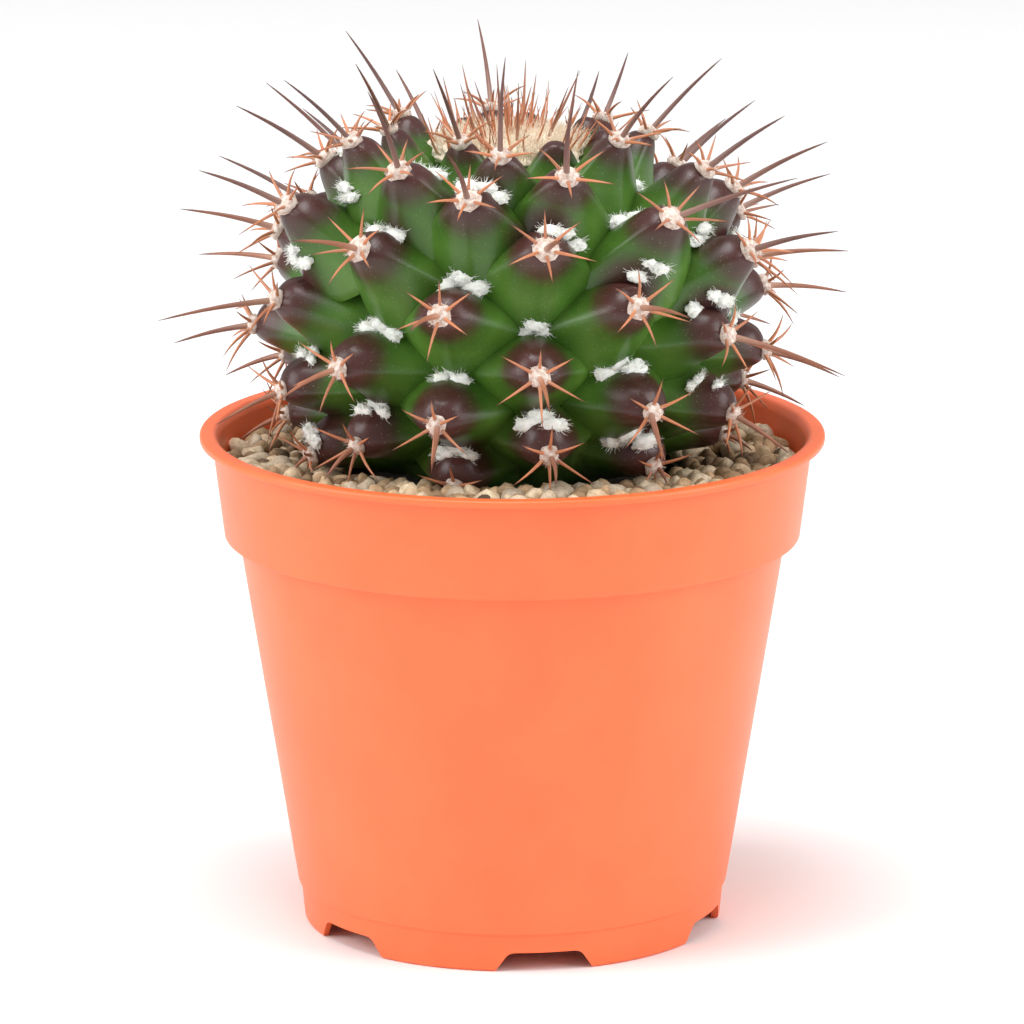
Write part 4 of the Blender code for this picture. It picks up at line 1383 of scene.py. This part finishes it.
class CactusPotColours(bpy.types.PropertyGroup):
    plastic: colour_property("Plastic", (0.92, 0.150, 0.042), "The pot's orange")
    plastic_light: colour_property("Light plastic", (0.95, 0.172, 0.052), "Faintly lighter patches")


PLAN = []


class CACTUS_OT_stem(bpy.types.Operator):
    """Makes the stem with all its tubercles"""

    bl_idname = "cactus.stem"
    bl_label = "Stem"

    def execute(self, context):
        make_stem(context.scene.cactus_stem)
        return {"FINISHED"}


class CACTUS_OT_spines(bpy.types.Operator):
    """Makes the central and radial spines of every areole"""

    bl_idname = "cactus.spines"
    bl_label = "Spines"

    def execute(self, context):
        make_spines(context.scene.cactus_spines, PLAN)
        return {"FINISHED"}


class CACTUS_OT_wool(bpy.types.Operator):
    """Makes the areole felt, the tufts between the tubercles and the crown's wool"""

    bl_idname = "cactus.wool"
    bl_label = "Wool"

    def execute(self, context):
        colours = context.scene.cactus_wool
        make_areole_felt(colours, PLAN)
        make_axil_wool(colours, bpy.data.objects["cactus_stem_skin"])
        make_crown_wool(colours)
        return {"FINISHED"}


class CACTUS_OT_bed(bpy.types.Operator):
    """Makes the soil's finish and scatters the gravel"""

    bl_idname = "cactus.bed"
    bl_label = "Gravel and soil"

    def execute(self, context):
        make_soil()
        make_gravel(context.scene.cactus_bed)
        return {"FINISHED"}


class CACTUS_OT_pot(bpy.types.Operator):
    """Makes the nursery pot"""

    bl_idname = "cactus.pot"
    bl_label = "Pot"

    def execute(self, context):
        make_pot(context.scene.cactus_pot)
        return {"FINISHED"}


class CACTUS_OT_stage(bpy.types.Operator):
    """Makes the floor, the lights and the camera"""

    bl_idname = "cactus.stage"
    bl_label = "Stage"

    def execute(self, context):
        make_stage()
        return {"FINISHED"}


OPERATORS = (CACTUS_OT_stage, CACTUS_OT_pot, CACTUS_OT_bed, CACTUS_OT_stem, CACTUS_OT_spines, CACTUS_OT_wool)
GROUPS = {
    "cactus_stem": CactusStemColours,
    "cactus_spines": CactusSpineColours,
    "cactus_wool": CactusWoolColours,
    "cactus_bed": CactusBed,
    "cactus_pot": CactusPotColours,
}


class CACTUS_PT_panel(bpy.types.Panel):
    """Lists the steps that build the plant"""

    bl_label = "Potted round cactus"
    bl_idname = "CACTUS_PT_panel"
    bl_space_type = "VIEW_3D"
    bl_region_type = "UI"
    bl_category = "Cactus"

    def draw(self, context):
        for operator in OPERATORS:
            self.layout.operator(operator.bl_idname)
        for name, group in GROUPS.items():
            box = self.layout.box()
            for key in group.__annotations__:
                box.prop(getattr(context.scene, name), key)


def register():
    for group in GROUPS.values():
        bpy.utils.register_class(group)
    for operator in OPERATORS:
        bpy.utils.register_class(operator)
    bpy.utils.register_class(CACTUS_PT_panel)
    for name, group in GROUPS.items():
        setattr(bpy.types.Scene, name, bpy.props.PointerProperty(type=group))


def unregister():
    for name in GROUPS:
        delattr(bpy.types.Scene, name)
    bpy.utils.unregister_class(CACTUS_PT_panel)
    for operator in reversed(OPERATORS):
        bpy.utils.unregister_class(operator)
    for group in reversed(list(GROUPS.values())):
        bpy.utils.unregister_class(group)


def main():
    register()
    PLAN.extend(spine_plan())
    bpy.ops.cactus.stage()
    bpy.ops.cactus.pot()
    bpy.ops.cactus.bed()
    bpy.ops.cactus.stem()
    bpy.ops.cactus.spines()
    bpy.ops.cactus.wool()


if __name__ == "__main__":
    main()
